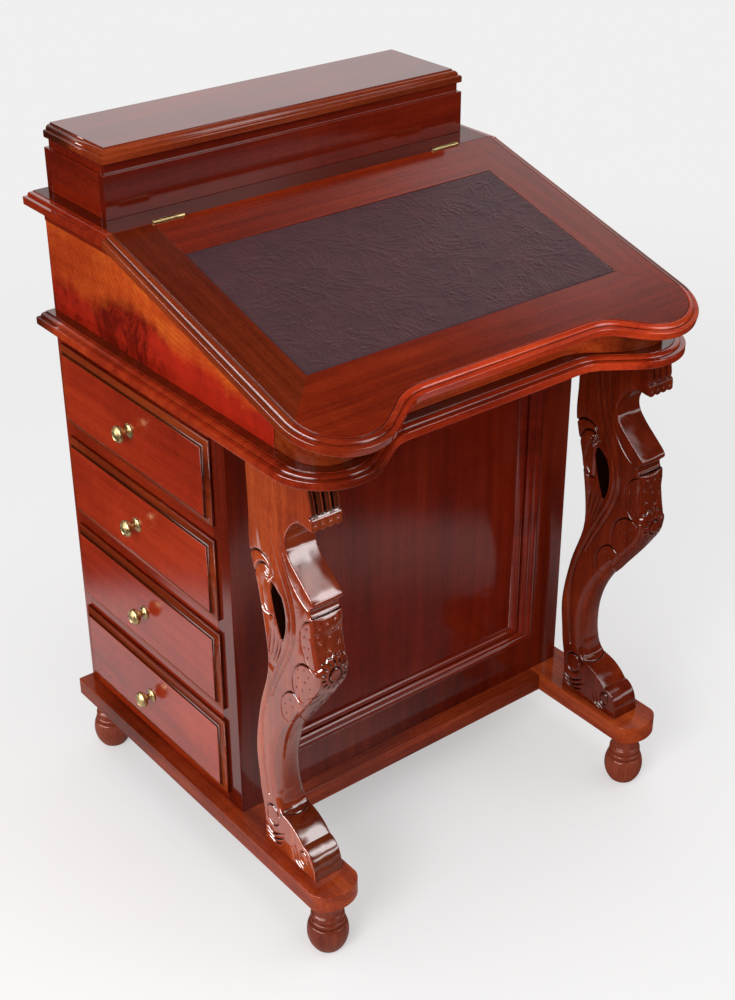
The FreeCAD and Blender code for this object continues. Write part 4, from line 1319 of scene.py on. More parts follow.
def thinned(mesh: Mesh, triangles: int) -> Mesh:
    """Merges faces where a mesh is flat.

    Args:
        mesh: four-cornered faces.
        triangles: how many triangles may stay.

    Returns:
        The lighter mesh.
    """
    obj = linked("thinning", mesh)
    modifier = obj.modifiers.new("fewer", "DECIMATE")
    modifier.ratio = min(1, triangles / (2 * len(mesh.polygons)))
    graph = bpy.context.evaluated_depsgraph_get()
    lighter = bpy.data.meshes.new_from_object(obj.evaluated_get(graph))
    bpy.data.objects.remove(obj)
    lighter.name = mesh.name
    return lighter


@dataclass
class CarvedSupport:
    """One serpentine front support: reeded block, scrolled tongue, leafed knee and stepped foot.

    The carving is worked as depths over the side (y, z) and over the front (x, z), in millimetres.
    On the front, x is 0 at the middle and grows away from the knee space.
    """

    centre_x: float = 233.0
    half_thick: float = 19.15
    low: float = 99.5
    high: float = 602.5
    pitch: float = 0.65
    triangles: int = 190_000
    reed_count: int = 4
    reed_end: float = 570.5
    band_top: float = 565.0
    block_low: float = 530.0
    block_front: float = -222.5
    shin_low: float = 158.0
    seam: Pair = (146, 172)
    ring_z: float = 382.0
    petals: int = 14
    # Painted shade inside the pierced slot, and on the front, stronger on the block and the toe.
    slot_shade: float = 0.92
    block_shade: float = 2.0
    toe_shade: float = 1.7
    head: Outline = ((-219.9, 602.5), (-227, 576), (-229.4, 550.5))
    hollow: Outline = (
        (-229.4, 550.5), (-219.9, 552.6), (-209, 552.8), (-199, 547.5), (-191, 539),
        (-184.8, 529), (-182.2, 519), (-184.8, 508.5), (-193.5, 498), (-205, 488),
        (-216, 479), (-224.6, 471.6), (-228, 466.6), (-227.3, 463.4), (-224.2, 461.2))
    neck: Outline = ((-224.2, 461.2), (-221.9, 458), (-221.6, 454), (-222.9, 451),
                     (-226.4, 448.8))
    knee: Outline = (
        (-226.4, 448.8), (-227.6, 438), (-227.4, 426), (-230.4, 408), (-234.6, 388),
        (-231.6, 371), (-221.4, 354), (-204.5, 331), (-185.9, 306.5), (-169.5, 281),
        (-157.9, 256.5), (-151.3, 231), (-149.3, 207), (-150.6, 186), (-153.6, 168.5))
    foot: Outline = ((-153.6, 168.5), (-156, 161.5), (-160.5, 156), (-171, 153.2),
                     (-181.5, 148.9), (-191, 142.9), (-199, 135.2))
    toe: Outline = ((-199, 135.2), (-204.6, 134), (-211.6, 128.8), (-216.6, 121),
                    (-219.6, 110.5), (-220.9, 99.5))
    back: Outline = (
        (-126.9, 99.5), (-127.4, 135), (-117.9, 187), (-114.6, 228), (-124.6, 287),
        (-143.4, 352), (-134.4, 430), (-120.6, 485), (-120.6, 530), (-118.4, 602.5))
    slot: Outline = (
        (-156.5, 460.5), (-163.5, 457.5), (-170.5, 449.5), (-175.6, 438.5), (-177.8, 425.5),
        (-177.3, 412), (-174.4, 401), (-170.8, 394.5), (-167.2, 401.5), (-163, 412),
        (-158.8, 423.5), (-155.6, 436), (-153.8, 447), (-154, 455.5))
    back_groove: Outline = (
        (-147, 606), (-148.5, 568), (-151, 546), (-154.5, 524), (-159.5, 502), (-167, 482),
        (-177, 463), (-185.5, 440), (-187, 415), (-180, 389), (-166, 362), (-153, 333), (-140, 302),
        (-131, 270), (-128.5, 238), (-131.5, 203), (-137, 170))
    front_groove: Outline = (
        (-156, 606), (-158, 568), (-160.5, 547), (-164.5, 526), (-170.5, 504), (-179.5, 485),
        (-188.5, 467), (-194.5, 449), (-196.5, 432), (-195, 411), (-188, 389), (-177, 366),
        (-164, 342), (-151, 314))
    tongue: Outline = ((-166, 606), (-168, 568), (-171, 545), (-174, 522), (-179, 500), (-188, 483),
                       (-199.5, 469.5), (-211, 461), (-220, 457))
    sunk_leaf: Outline = (
        (-156, 459), (-178, 447), (-184, 425), (-178, 398), (-166, 372), (-154, 348), (-146, 352),
        (-147.5, 392), (-144, 415), (-154, 419), (-153, 436))
    leaf_cuts: CutTable = (
        (Gouge(2.2, 2.8, 0.2, 0.9, 6), (
            ((-118.5, 474), (-123, 481.5), (-131, 486.5), (-141, 487.5), (-150, 484.5), (-156, 478),
             (-160, 468)),
            ((-127, 452), (-129.5, 464), (-136, 473), (-145, 476.5), (-153, 474), (-158.5, 466)))),
        (Gouge(1.9, 2.3, 0.3, 0.95, 6), (
            ((-127, 453), (-128.5, 441), (-132, 429.5), (-138.5, 421), (-146.5, 416),
             (-155, 416.5)),)),
        (Gouge(2.2, 2.2, 0.35, 0.4, 6), (
            ((-146.5, 462), (-142, 453), (-140, 442), (-142, 430), (-148, 421.5)),)),
        (Gouge(2.6, -0.9, 0.4, 0, 6), (
            ((-121.5, 470), (-126, 458), (-124.5, 446), (-128, 430), (-134, 412), (-140, 392)),)),
        (Gouge(1.5, 2.2, 0.5, 1, 4), (
            ((-148.5, 471), (-153.65, 468.1), (-156, 462)),
            ((-146, 466.5), (-151.3, 464.85), (-153.8, 460)),
            ((-144.5, 461.5), (-149.65, 460.85), (-152, 457)))),
        (Gouge(1.7, 2.4, 0.8, 1, 5), (
            ((-165, 397), (-161.5, 380), (-155, 361)), ((-158.5, 401), (-155.5, 384), (-151, 366)),
            ((-151.5, 405), (-149.5, 388), (-146.5, 370)),
            ((-169.5, 393), (-166, 378), (-159, 360)))))
    lobes: Sequence[Outline] = (
        ((-244, 447.5), (-225, 447), (-214.5, 440.5), (-207.8, 430), (-206.3, 418), (-208.5, 405),
         (-213.8, 395.5), (-221, 388.5), (-229, 384), (-244, 384)),
        ((-244, 389), (-221, 388.5), (-208.5, 386.5), (-197, 377), (-190.8, 363), (-190.6, 350),
         (-196, 338.5), (-210, 330), (-244, 330)),
        ((-230, 335), (-196, 338.5), (-186.5, 339), (-176, 331), (-168.6, 317), (-169.2, 303),
         (-174.5, 294.5), (-182, 291), (-200, 285)))
    punches: Outline = (
        (-219, 436), (-214, 424), (-221, 413), (-213.5, 411), (-219, 401), (-223, 426),
        (-201.5, 377), (-212, 382), (-219, 376), (-202, 366.5), (-213, 367), (-221.5, 363),
        (-198, 353), (-208, 354), (-185.5, 329), (-176.5, 319), (-190, 322), (-201, 336),
        (-193.5, 313), (-203, 322), (-178.5, 308.5), (-186.5, 303))
    shin_cuts: CutTable = (
        (Gouge(5, 1.6, 0.9, 0, 6), (((-182, 289), (-172, 268), (-166.5, 249), (-165, 232)),)),)
    foot_cuts: CutTable = (
        (Gouge(1.6, 2, 0.6, 1, 6), (
            ((-129.5, 120.5), (-143, 117), (-160, 126.5)),
            ((-130, 114.5), (-146, 111.5), (-164, 122)),
            ((-134, 108.5), (-148, 106.5), (-160, 112)), ((-184, 125), (-189.5, 111), (-200, 103)),
            ((-179, 121), (-185, 107), (-195, 101.5)))),)
    band_crosses: Outline = ((-13.6, 557.8), (-4.6, 557.8), (4.6, 557.8), (13.6, 557.8))
    knee_crosses: Outline = (
        (12.5, 437.5), (3, 441.3), (-8.4, 443.2), (-12.2, 430), (0.6, 425.6), (12.8, 420.8),
        (-10, 415.2), (3.2, 411), (15, 429), (-4, 433.5))
    jagged_leaf: Outline = (
        (-23, 394), (-17.2, 396.5), (-16.2, 401), (-12.5, 400), (-9, 404.5), (-5, 401.5),
        (-0.5, 405.5), (3, 401.5), (7.5, 402.5), (9.8, 398.5), (14, 398.5), (15.2, 393.5),
        (23, 388))
    leaf_tail: Outline = ((23, 330), (12, 306), (0, 292), (-12, 306), (-23, 330))
    leaf_veins: Sequence[Outline] = (
        ((1.5, 358), (3, 338), (9, 316)), ((5, 360), (9.5, 343), (17, 328)),
        ((0.8, 340), (2.5, 318), (6.5, 303)), ((9, 362), (14, 352), (21, 345)),
        ((0.6, 318), (1.5, 306), (3, 297)))
    front_swell: Outline = (
        (100, 0), (112, 0.8), (150, 0.8), (156, 0), (164, 2), (176, 3.6), (205, 4.6), (250, 5.2),
        (300, 6.2), (335, 5.4), (385, 3.6), (430, 3.4), (446, 2.6), (450, 0.4), (466, 1), (512, 1),
        (530, 0))
    front_arris: Outline = (
        (99, 0.8), (104, 1), (150, 1.1), (156, 2.5), (172, 9), (190, 11), (230, 11.5), (290, 8.5),
        (325, 5), (350, 4.5), (400, 4), (444, 3.2), (450, 1.6), (458, 2), (464, 1.4), (470, 0.8),
        (548, 0.9), (556, 0.6), (602, 0.6))
    back_arris: Outline = ((99, 0.8), (110, 1.4), (165, 2), (190, 4.5), (300, 5), (400, 3.5),
                           (470, 2.2), (486, 0.9), (602, 0.8))

    def _front_runs(self) -> tuple[Outline, ...]:
        """The runs of the front's outline, from the top down."""
        return self.head, self.hollow, self.neck, self.knee, self.foot, self.toe

    def outline(self) -> list[Pair]:
        """The side outline, from the top of the front round the foot to the top of the back."""
        line: list[Pair] = []
        for run in self._front_runs():
            line += smooth_line(run, 5)[:-1]
        line.append(self.toe[-1])
        return line + smooth_line(self.back, 6)

    def _slot_gap(self, y: Array, z: Array) -> Array:
        """Args: y, z: places on the side. Returns: their distance from the pierced slot."""
        return outline_gap(smooth_line([*self.slot, self.slot[0]], 4), y, z)

    def build(self) -> None:
        """Carves the support once and sets the pair in place."""
        p = self.pitch
        xs = (np.arange(math.ceil(self.half_thick / p) + 3) + 0.5) * p
        xs = np.concatenate([-xs[::-1], xs])
        ys = np.arange(-244, -111, p)
        zs = np.arange(self.low - 2.5 * p, self.high + 3 * p, p)
        side, front = Relief(ys, zs), Relief(xs, zs)
        self._cut_side(side)
        self._cut_front(front)
        points, faces = self._carve(side, front)
        base = thinned(mesh_of("support", points * MM, faces), self.triangles)
        # The right support takes the shaded copy and no painted front shade; the left one gets
        # painted shade on its front.
        for way, name, finish, front_shade in ((1, "support_right", Finish.CARVED_DARK, 0),
                                         (-1, "support_left", Finish.CARVED, 0.36)):
            mesh = base.copy()
            self._darken(mesh, side, front, front_shade)
            bm = bmesh.new()
            bm.from_mesh(mesh)
            move(bm, Matrix.Diagonal((way, 1, 1, 1)))
            move(bm, Matrix.Translation((way * self.centre_x * MM, 0, 0)))
            face_out(bm)
            bm.to_mesh(mesh)
            bm.free()
            shade_smooth(mesh)
            piece = place_mesh(f"{name}_carved", mesh, "desk", [name])
            Shop.mahogany(piece, finish, Grain.Z_ON_SIDE)

    def _darken(self, mesh: Mesh, side: Relief, front: Relief, front_shade: float) -> None:
        """Paints shade, old polish and highlight onto the carving for the finish.

        Args:
            mesh: the carved mesh.
            side, front: its maps.
            front_shade: how much painted shade darkens its front.
        """
        x, y, z = column(mesh.vertices, "co", 3).T / MM
        flat = np.clip(np.abs(column(mesh.vertices, "normal", 3)[:, 0]) * 1.6 - 0.3, 0, 1)
        ahead = y < self._middle(z)
        inner = np.abs(x) / self.half_thick < 0.9
        wall = outline_gap(self.outline(), y, z)
        flat = np.where(ahead & (wall > -7) & (np.abs(x) < self.half_thick - 2.5), 0,
                        np.where((wall < -5) | ~ahead, 1, flat))
        worked = front.grime_and_shade_at(x, z)
        # Painted shade on the front faces, stronger on the reeded block and the toe.
        share = np.where(z > self.band_top, self.block_shade,
                         np.where(z < self.shin_low, self.toe_shade, 1))
        worked = np.where(worked >= 0, np.maximum(worked, front_shade * share), worked)
        marks = np.where(ahead, (1 - flat) * worked, 0) + flat * side.grime_and_shade_at(y, z)
        # Painted shade inside the pierced slot.
        marks = np.where((self._slot_gap(y, z) < 1.5) & inner, self.slot_shade, marks)
        # Painted shadow line along the seam between shin and foot.
        marks = np.maximum(marks, self._seam(x, y, z) * ahead)
        layer = mesh.attributes.new("hollow", "FLOAT", "POINT")
        layer.data.foreach_set("value", np.clip(marks, -1, 1).astype(np.float32))

    def _carve(self, side: Relief, front: Relief) -> tuple[Array, Array]:
        """Works the block.

        Args:
            side, front: the depths cut into its faces.

        Returns:
            Its skin's points in millimetres and its faces.
        """
        xs, ys, zs = front.first, side.first, side.second
        y, z = np.meshgrid(ys, zs, indexing="ij")
        slot = self._slot_gap(y, z)
        ahead = np.clip(0.5 - (y - self._middle(zs)[None, :]) / 8, 0, 1)
        radius = self._arris(z, ahead, slot)[None]
        wall = np.maximum(outline_gap(self.outline(), y, z), -slot)
        x, y, z = xs[:, None, None], y[None], z[None]
        tool_marks = 0.10 * np.sin(x * 0.31 + z * 0.085) * np.sin(y * 0.17 + z * 0.043)
        edge = wall[None] + front.depth[:, None, :] * ahead[None] + tool_marks
        edge += 0.8 * self._seam(x, y, z)
        away = 1000.0 * ((y > self.block_front) | (z < self.block_low))
        edge = np.maximum(edge, self._scallops(x) - z - away)
        face = np.abs(x) - (self.half_thick - side.depth[None])
        a, b = edge + radius, face + radius
        values = (np.minimum(np.maximum(a, b), 0)
                  + np.hypot(np.maximum(a, 0), np.maximum(b, 0)) - radius)
        ends = np.maximum(self.low - z, z - self.high)
        values = np.maximum(values, ends).astype(np.float32)
        return surface_net(values, np.array([xs[0], ys[0], zs[0]]), self.pitch)

    def _seam(self, x: Array, y: Array, z: Array) -> Array:
        """Args: x, y, z: places. Returns: share of the curved line between shin and foot."""
        line = np.exp(-((y + 159.5 + 9.0 * (1 - (x / self.half_thick) ** 2)) / 0.9) ** 2)
        return line * ((z > self.seam[0]) & (z < self.seam[1]))

    def _middle(self, zs: Array) -> Array:
        """Args: zs: heights. Returns: y of the line between front and back at each height."""
        front = np.array([q for run in self._front_runs() for q in run])[::-1]
        back = np.array(self.back)
        return 0.5 * (np.interp(zs, front[:, 1], front[:, 0])
                      + np.interp(zs, back[:, 1], back[:, 0]))

    def _arris(self, z: Array, ahead: Array, slot: Array) -> Array:
        """Rounding of the edge between side and front or back.

        Args:
            z: the side's heights.
            ahead: 1 towards the front.
            slot: distance to the pierced slot.

        Returns:
            Its radius in millimetres.
        """
        radius = (ahead * np.interp(z, *zip(*self.front_arris))
                  + (1 - ahead) * np.interp(z, *zip(*self.back_arris)))
        near_slot = np.clip(1.4 - slot / 9, 0, 1)
        return radius * (1 - near_slot) + 1.1 * near_slot

    def _scallops(self, xs: Array) -> Array:
        """Args: xs: places across. Returns: height of the block's scalloped lower edge."""
        reed = 2 * self.half_thick / self.reed_count
        return 550.6 + 2.2 * (1 - np.abs(np.sin(math.pi * (xs + self.half_thick) / reed))) ** 1.5

    def _cut_side(self, side: Relief) -> None:
        """Grooves, scroll, lobes and foot rings. Args: side: the map to cut."""
        side.stroke(self.back_groove, Gouge(2.8, 2, 0, 0.25, 6))
        side.stroke(self.front_groove, Gouge(2.4, 1.7, 0.25, 0.3, 6))
        pairs = zip(smooth_line(self.back_groove, 6), smooth_line(self.front_groove, 6))
        ridge = [(0.5 * (a[0] + b[0]), 0.5 * (a[1] + b[1])) for a, b in pairs]
        side.stroke(ridge[:64], Gouge(3.4, -0.8, 0.3))
        side.stroke(self.tongue, Gouge(1.3, 1.3, 0.15, 0.45, 6))
        side.leaf(self.sunk_leaf, -1.6, 5)
        side.carve(self.leaf_cuts)
        for lobe in self.lobes:
            side.leaf(smooth_line([*lobe, lobe[0]], 5), 0.8, 1)
            side.stroke(lobe[1:-1], Gouge(1.5, 1.9, 0.25, 1, 6))
        for y, z in self.punches:
            side.stroke([(y - 0.5, z + 1.1), (y + 0.5, z - 1.1)], Gouge(1, 0.9, 0, 0.9))
        side.carve(self.shin_cuts)
        heel = oval((-143.8, 144), (11.5, 14), -150, 165, 28)
        side.leaf(heel, 0.5, 2)
        side.stroke(heel, Gouge(1.7, 2.1, 0.25, 1))
        side.stroke(oval((-200, 119.5), (6.8, 8.6), -120, 210, 22), Gouge(1.5, 1.9, 0.3, 1))
        side.carve(self.foot_cuts)

    def _cut_front(self, front: Relief) -> None:
        """Reeds, band, tongue, leafed knee and flower. Args: front: the map to cut."""
        x, z = np.meshgrid(front.first, front.second, indexing="ij")
        half = self.half_thick
        crown = (x / half) ** 2
        sag = np.where(z < 180, 3.5 * (1 - np.minimum(crown, 1)), 0)
        swell = np.interp(z + sag, *zip(*self.front_swell))
        front.depth -= (swell * (1 - np.minimum(crown, 1.2))).astype(np.float32)
        reed = half / self.reed_count
        centre = (np.floor((x + half) / (2 * reed)) + 0.5) * 2 * reed - half
        off = np.hypot((x - centre) / reed, np.maximum(self.reed_end - z, 0) / reed)
        round_reed = 3.4 * (1 - np.sqrt(np.clip(1 - off ** 2, 0, 1)))
        reeded = (z > self.band_top) & (np.abs(x) < half + 1)
        front.depth += np.where(reeded, np.minimum(round_reed, 2.6), 0).astype(np.float32)
        self._line_across(front, self.band_top - 1.2, Gouge(0.9, 0.8, 0, 0.5))
        for share in (-0.5, 0, 0.5):
            front.stroke([(share * half, 610), (share * half, self.reed_end - 3)],
                         Gouge(1.7, 1.2, 0, 1))
        # Painted highlight: pale lines of no depth along each reed's crest.
        for share in (-0.8, -0.3, 0.2, 0.7):
            front.stroke([(share * half, 610), (share * half, self.reed_end)],
                         Gouge(0.7, 0, 0, -0.8))
        self._line_across(front, 459.5, Gouge(1.6, 0.3, 0, 0.9))
        self._crosses(front, self.band_crosses)
        self._line_across(front, 449.6, Gouge(1, 1, 0, 0.8))
        self._crosses(front, self.knee_crosses)
        self._cut_flower(front)

    @staticmethod
    def _line_across(front: Relief, height: float, gouge: Gouge) -> None:
        """Args: front: the map. height: where the line runs. gouge: how it is cut."""
        front.stroke([(-22, height), (22, height)], gouge)

    @staticmethod
    def _crosses(front: Relief, places: Outline, reach: float = 1.96) -> None:
        """Args: front: the map. places: the punched crosses. reach: half their size."""
        for x, z in places:
            for lean in (reach, -reach):
                # The crosses are painted pale: wear, and painted highlight on their edges.
                front.stroke([(x - reach, z - lean), (x + reach, z + lean)],
                             Gouge(0.78, 0.9, 0.2, -1))

    def _cut_flower(self, front: Relief) -> None:
        """Jagged leaf with a ringed flower on the knee. Args: front: the map to cut."""
        front.leaf([*self.jagged_leaf, *self.leaf_tail], 1.8, 1.2)
        front.stroke([(x, z + 0.6) for x, z in self.jagged_leaf], Gouge(1, 0, 0, 0.7))
        ring = oval((0, self.ring_z), (7.8, 9.4), 0, 360, 33)
        front.leaf(ring, 0.6, 5)
        front.stroke(ring, Gouge(1.6, 1.4, 0, 1))
        step = 360.0 / self.petals
        inner, outer = (oval((0, self.ring_z), radii, 0.5 * step, 360.0 - 0.5 * step, self.petals)
                        for radii in ((11.2, 13), (16.4, 19)))
        for petal in zip(inner, outer):
            front.stroke(petal, Gouge(1.4, 1.5, 0.4, 1))
        for lean in (1, -1):
            for vein in self.leaf_veins:
                front.stroke([(lean * x, z) for x, z in vein], Gouge(1.5, 1.7, 0.7, 1, 5))


# ---------------------------------------------------------------- sub-assemblies
def brass_hinges(prefix: str, lid: str) -> None:
    """Dresses a lid's hinges. Args: prefix: their nodes' first word. lid: the lid's body."""
    for part, body in (("fixed_leaves", "desk"), ("pins", "desk"), ("moving_leaves", lid)):
        Shop.brass(eased(f"{prefix}_hinge_{part}", body, 0.12 * MM, 1))


@dataclass
class Base:
    """Runners, cross rails and turned bun feet. Sizes in millimetres."""

    inner_x: float = 205.5
    outer_x: float = 266.5
    back_y: float = 272.8
    straight_y: float = -231.6
    end_depth: float = 21.3
    corner: float = 1.2
    low: float = 76.5
    high: float = 99.5
    foot_x: float = 236.6
    foot_y: Pair = (-221.8, 249.4)
    foot_profile: Sequence[Sequence[Any]] = (
        ((0, 0), (14.6, 0), (16.2, 0.6)), ((16.2, 0.6), (23.8, 20), (21.9, 35.2), 18),
        ((20.6, 36.4), (17.6, 36.9)), ((17.6, 37.3), (20.2, 40.2), (18.2, 43), 8),
        ((17, 43.7),), ((17, 44.2), (19.2, 48), (17.2, 51.8), 10),
        ((16.6, 52.4),), ((16.6, 52.4), (16.3, 60.5), (19.6, 69), 10),
        ((20.9, 70), (21.5, 71.2), (21.5, 76.5), (0, 76.5)))

    def build(self) -> None:
        """Makes the base."""
        for side, name in ((1, "runner_right"), (-1, "runner_left")):
            bm = outline_block(self._outline(side), self.low * MM, self.high * MM, 1.0 * MM)
            board(bm, f"{name}_board", "desk", [name], Finish.BASE, Grain.Y_ON_SIDE)
        Shop.mahogany(eased("base_rails", "desk"), Finish.BASE, Grain.X_ON_FRONT)
        places = [(side * self.foot_x * MM, y * MM, 0) for side in (-1, 1) for y in self.foot_y]
        finish = Finish.TURNED.value.make("mahogany_feet", Grain.Z_ON_FRONT, 0.11)
        foot = spun("foot", profile_line(*self.foot_profile))
        mesh = Repeat(foot).build("turned_feet", places, finish)
        place_mesh("turned_feet", mesh, "desk", ["bun_feet"])

    def _outline(self, side: int) -> list[Pair]:
        """Args: side: 1 right, -1 left. Returns: the runner's plan in metres, counter-clockwise."""
        centre, half = 0.5 * (self.inner_x + self.outer_x), 0.5 * (self.outer_x - self.inner_x)
        plan = oval((centre, self.straight_y), (half, self.end_depth), 180, 360, 33)
        cut_y = self.back_y - self.corner
        plan += [(self.outer_x, cut_y), (self.outer_x - self.corner, self.back_y),
                 (self.inner_x + self.corner, self.back_y), (self.inner_x, cut_y)]
        plan = [(side * x * MM, y * MM) for x, y in plan]
        return plan if side > 0 else plan[::-1]


@dataclass
class Drawers:
    """Four working drawers on the left and their blind twins on the right. Sizes in millimetres."""

    levels: tuple[float, ...] = (526.7, 406.4, 286.1, 165.8)
    back_x: float = 248.7
    front_y: float = -52.4
    rear_y: float = 255.1
    height: float = 102.0
    proud: float = 8.0
    tenon_x: Pair = (-0.5, 12)
    tenon_y: Pair = (-45.1, 247.8)
    tenon_z: Pair = (-45.5, 44.7)
    knob_y: float = 101.35
    knob_rise: float = 2.0
    face_foot: Outline = ((0, 0), (0, 3.3), (0.12, 3.8), (0.5, 4.15), (1.1, 4.3))
    face_field: Outline = ((7.95, 6.7), (8.05, 5.7), (8.4, 5.45), (9.3, 5.45), (9.6, 5.7),
                           (9.7, 7.4), (9.85, 7.8), (10.3, 8))
    knob_profile: Sequence[Sequence[Any]] = (
        ((0, -4), (2, -4), (2, 0.02), (8.45, 0.02), (8.75, 0.35), (8.6, 0.95), (8, 1.25),
         (7.3, 1.15), (6.9, 1.35)),
        ((6.9, 1.35), (5.6, 2.5), (4.4, 2.9), 5), ((4.4, 2.9), (3.45, 5.8), (4.5, 8.4), 8),
        ((4.9, 8.7), (5, 9.1), (4.8, 9.4)), ((4.8, 9.4), (9.95, 13.4), (8.3, 17.2), 14),
        ((8.2, 17.75), (7.75, 18.2), (7.2, 18.3), (6.75, 18.1), (6.45, 17.75), (5.9, 17.9),
         (4.8, 18.75), (3.2, 19.35), (1.6, 19.63), (0, 19.7)))

    def build(self) -> None:
        """Makes every drawer, then the blind side."""
        for number, level in enumerate(self.levels, 1):
            self._drawer(f"drawer_{number}", level)
        blind = bmesh.new()
        for level in self.levels:
            absorb(blind, self._face(level, 1))
        self._front(blind, "blind_fronts", "desk", 1)
        mesh = Repeat(self._knob(1), (1.0, 0.0, 0.0), math.tau).build(
            "blind_knobs", [self._knob_place(level, 1) for level in self.levels],
            AgedBrass().make("brass_blind_knobs"))
        place_mesh("blind_knobs_turned", mesh, "desk", ["blind_knobs"])

    @staticmethod
    def _front(bm: BMesh, node: str, body: str, side: int) -> None:
        """Args: bm: moulded faces. node: what they replace. body: what they ride. side: -1 or 1."""
        piece = board(bm, f"{node}_moulded", body, [node], Finish.DRAWER, Grain.Y_ON_SIDE)
        Shop.rim(piece, Finish.BEAD, Grain.Y_ON_SIDE, (float(side), 0, 0))

    def _drawer(self, body: str, level: float) -> None:
        """Args: body: the drawer's name. level: its centre height."""
        bm = self._face(level, -1)
        tenon = box((tuple(x - self.back_x for x in self.tenon_x), self.tenon_y,
                     tuple(level + z for z in self.tenon_z)))
        ease_edges(tenon, 0.8 * MM)
        absorb(bm, tenon)
        self._front(bm, f"{body}_front", body, -1)
        for part, grain in (("sides", Grain.X_ON_FRONT), ("back", Grain.Y_ON_SIDE),
                            ("bottom", Grain.Y_ON_TOP)):
            Shop.plain(eased(f"{body}_{part}", body, 0.6 * MM), grain)
        mesh = self._knob(-1)
        mesh.transform(Matrix.Translation(self._knob_place(level, -1)))
        Shop.brass(place_mesh(f"{body}_knob_turned", mesh, body, [f"{body}_knob"]))

    def _face(self, level: float, side: int) -> BMesh:
        """Drawer face with an ovolo edge, a quirk and a raised field.

        Args:
            level: its centre height.
            side: -1 left, 1 right.

        Returns:
            The closed face, in metres.
        """
        corners, ways = rectangle_path(self.front_y, self.rear_y, level - self.height / 2,
                                       level + self.height / 2)
        ovolo = [(1.1 + 6.6 * math.sin(a), 4.3 + 2.7 * (1 - math.cos(a)) ** 0.8)
                 for a in np.radians([14, 28, 42, 56, 70, 82, 90])]
        bm = ringed_block(corners, ways, [*self.face_foot, *ovolo, *self.face_field])
        for vert in bm.verts:
            y, z, x = vert.co
            vert.co = (side * (self.back_x + x) * MM, y * MM, z * MM)
        face_out(bm)
        return bm

    def _knob_place(self, level: float, side: int) -> Point:
        """Args: level: the drawer's height. side: -1 left, 1 right. Returns: its knob's seat."""
        return (side * (self.back_x + self.proud) * MM, self.knob_y * MM,
                (level + self.knob_rise) * MM)

    def _knob(self, side: int) -> Mesh:
        """Args: side: the way it points along X, -1 or 1. Returns: the knob, seat at the origin."""
        mesh = spun("knob", profile_line(*self.knob_profile), 40)
        mesh.transform(Matrix.Rotation(side * math.pi / 2, 4, "Y"))
        return mesh


@dataclass
class Pedestal:
    """Framed and panelled drawer case. Rounding of its edges in metres."""

    ease: float = 0.6 * MM
    bead_ease: float = 0.3 * MM

    def build(self) -> None:
        """Dresses the case's frame, panels and runners."""
        for name, finish, grain in (
                # The front frame takes the shaded FRAME copy: painted shade.
                ("pedestal_front_frame", Finish.FRAME, Grain.Z_ON_FRONT),
                ("pedestal_front_panel", Finish.PANEL, Grain.Z_ON_FRONT),
                ("pedestal_back_frame", Finish.BODY, Grain.Z_ON_FRONT),
                ("pedestal_back_panel", Finish.BODY, Grain.Z_ON_FRONT),
                ("drawer_rails", Finish.BODY, Grain.Y_ON_SIDE),
                ("pedestal_right_side", Finish.BODY, Grain.Z_ON_SIDE)):
            Shop.mahogany(eased(name, "desk", self.ease), finish, grain)
        Shop.mahogany(eased("pedestal_front_beads", "desk", self.bead_ease), Finish.PANEL,
                      Grain.X_ON_FRONT)
        Shop.plain(eased("drawer_runners", "desk", self.ease), Grain.X_ON_FRONT)


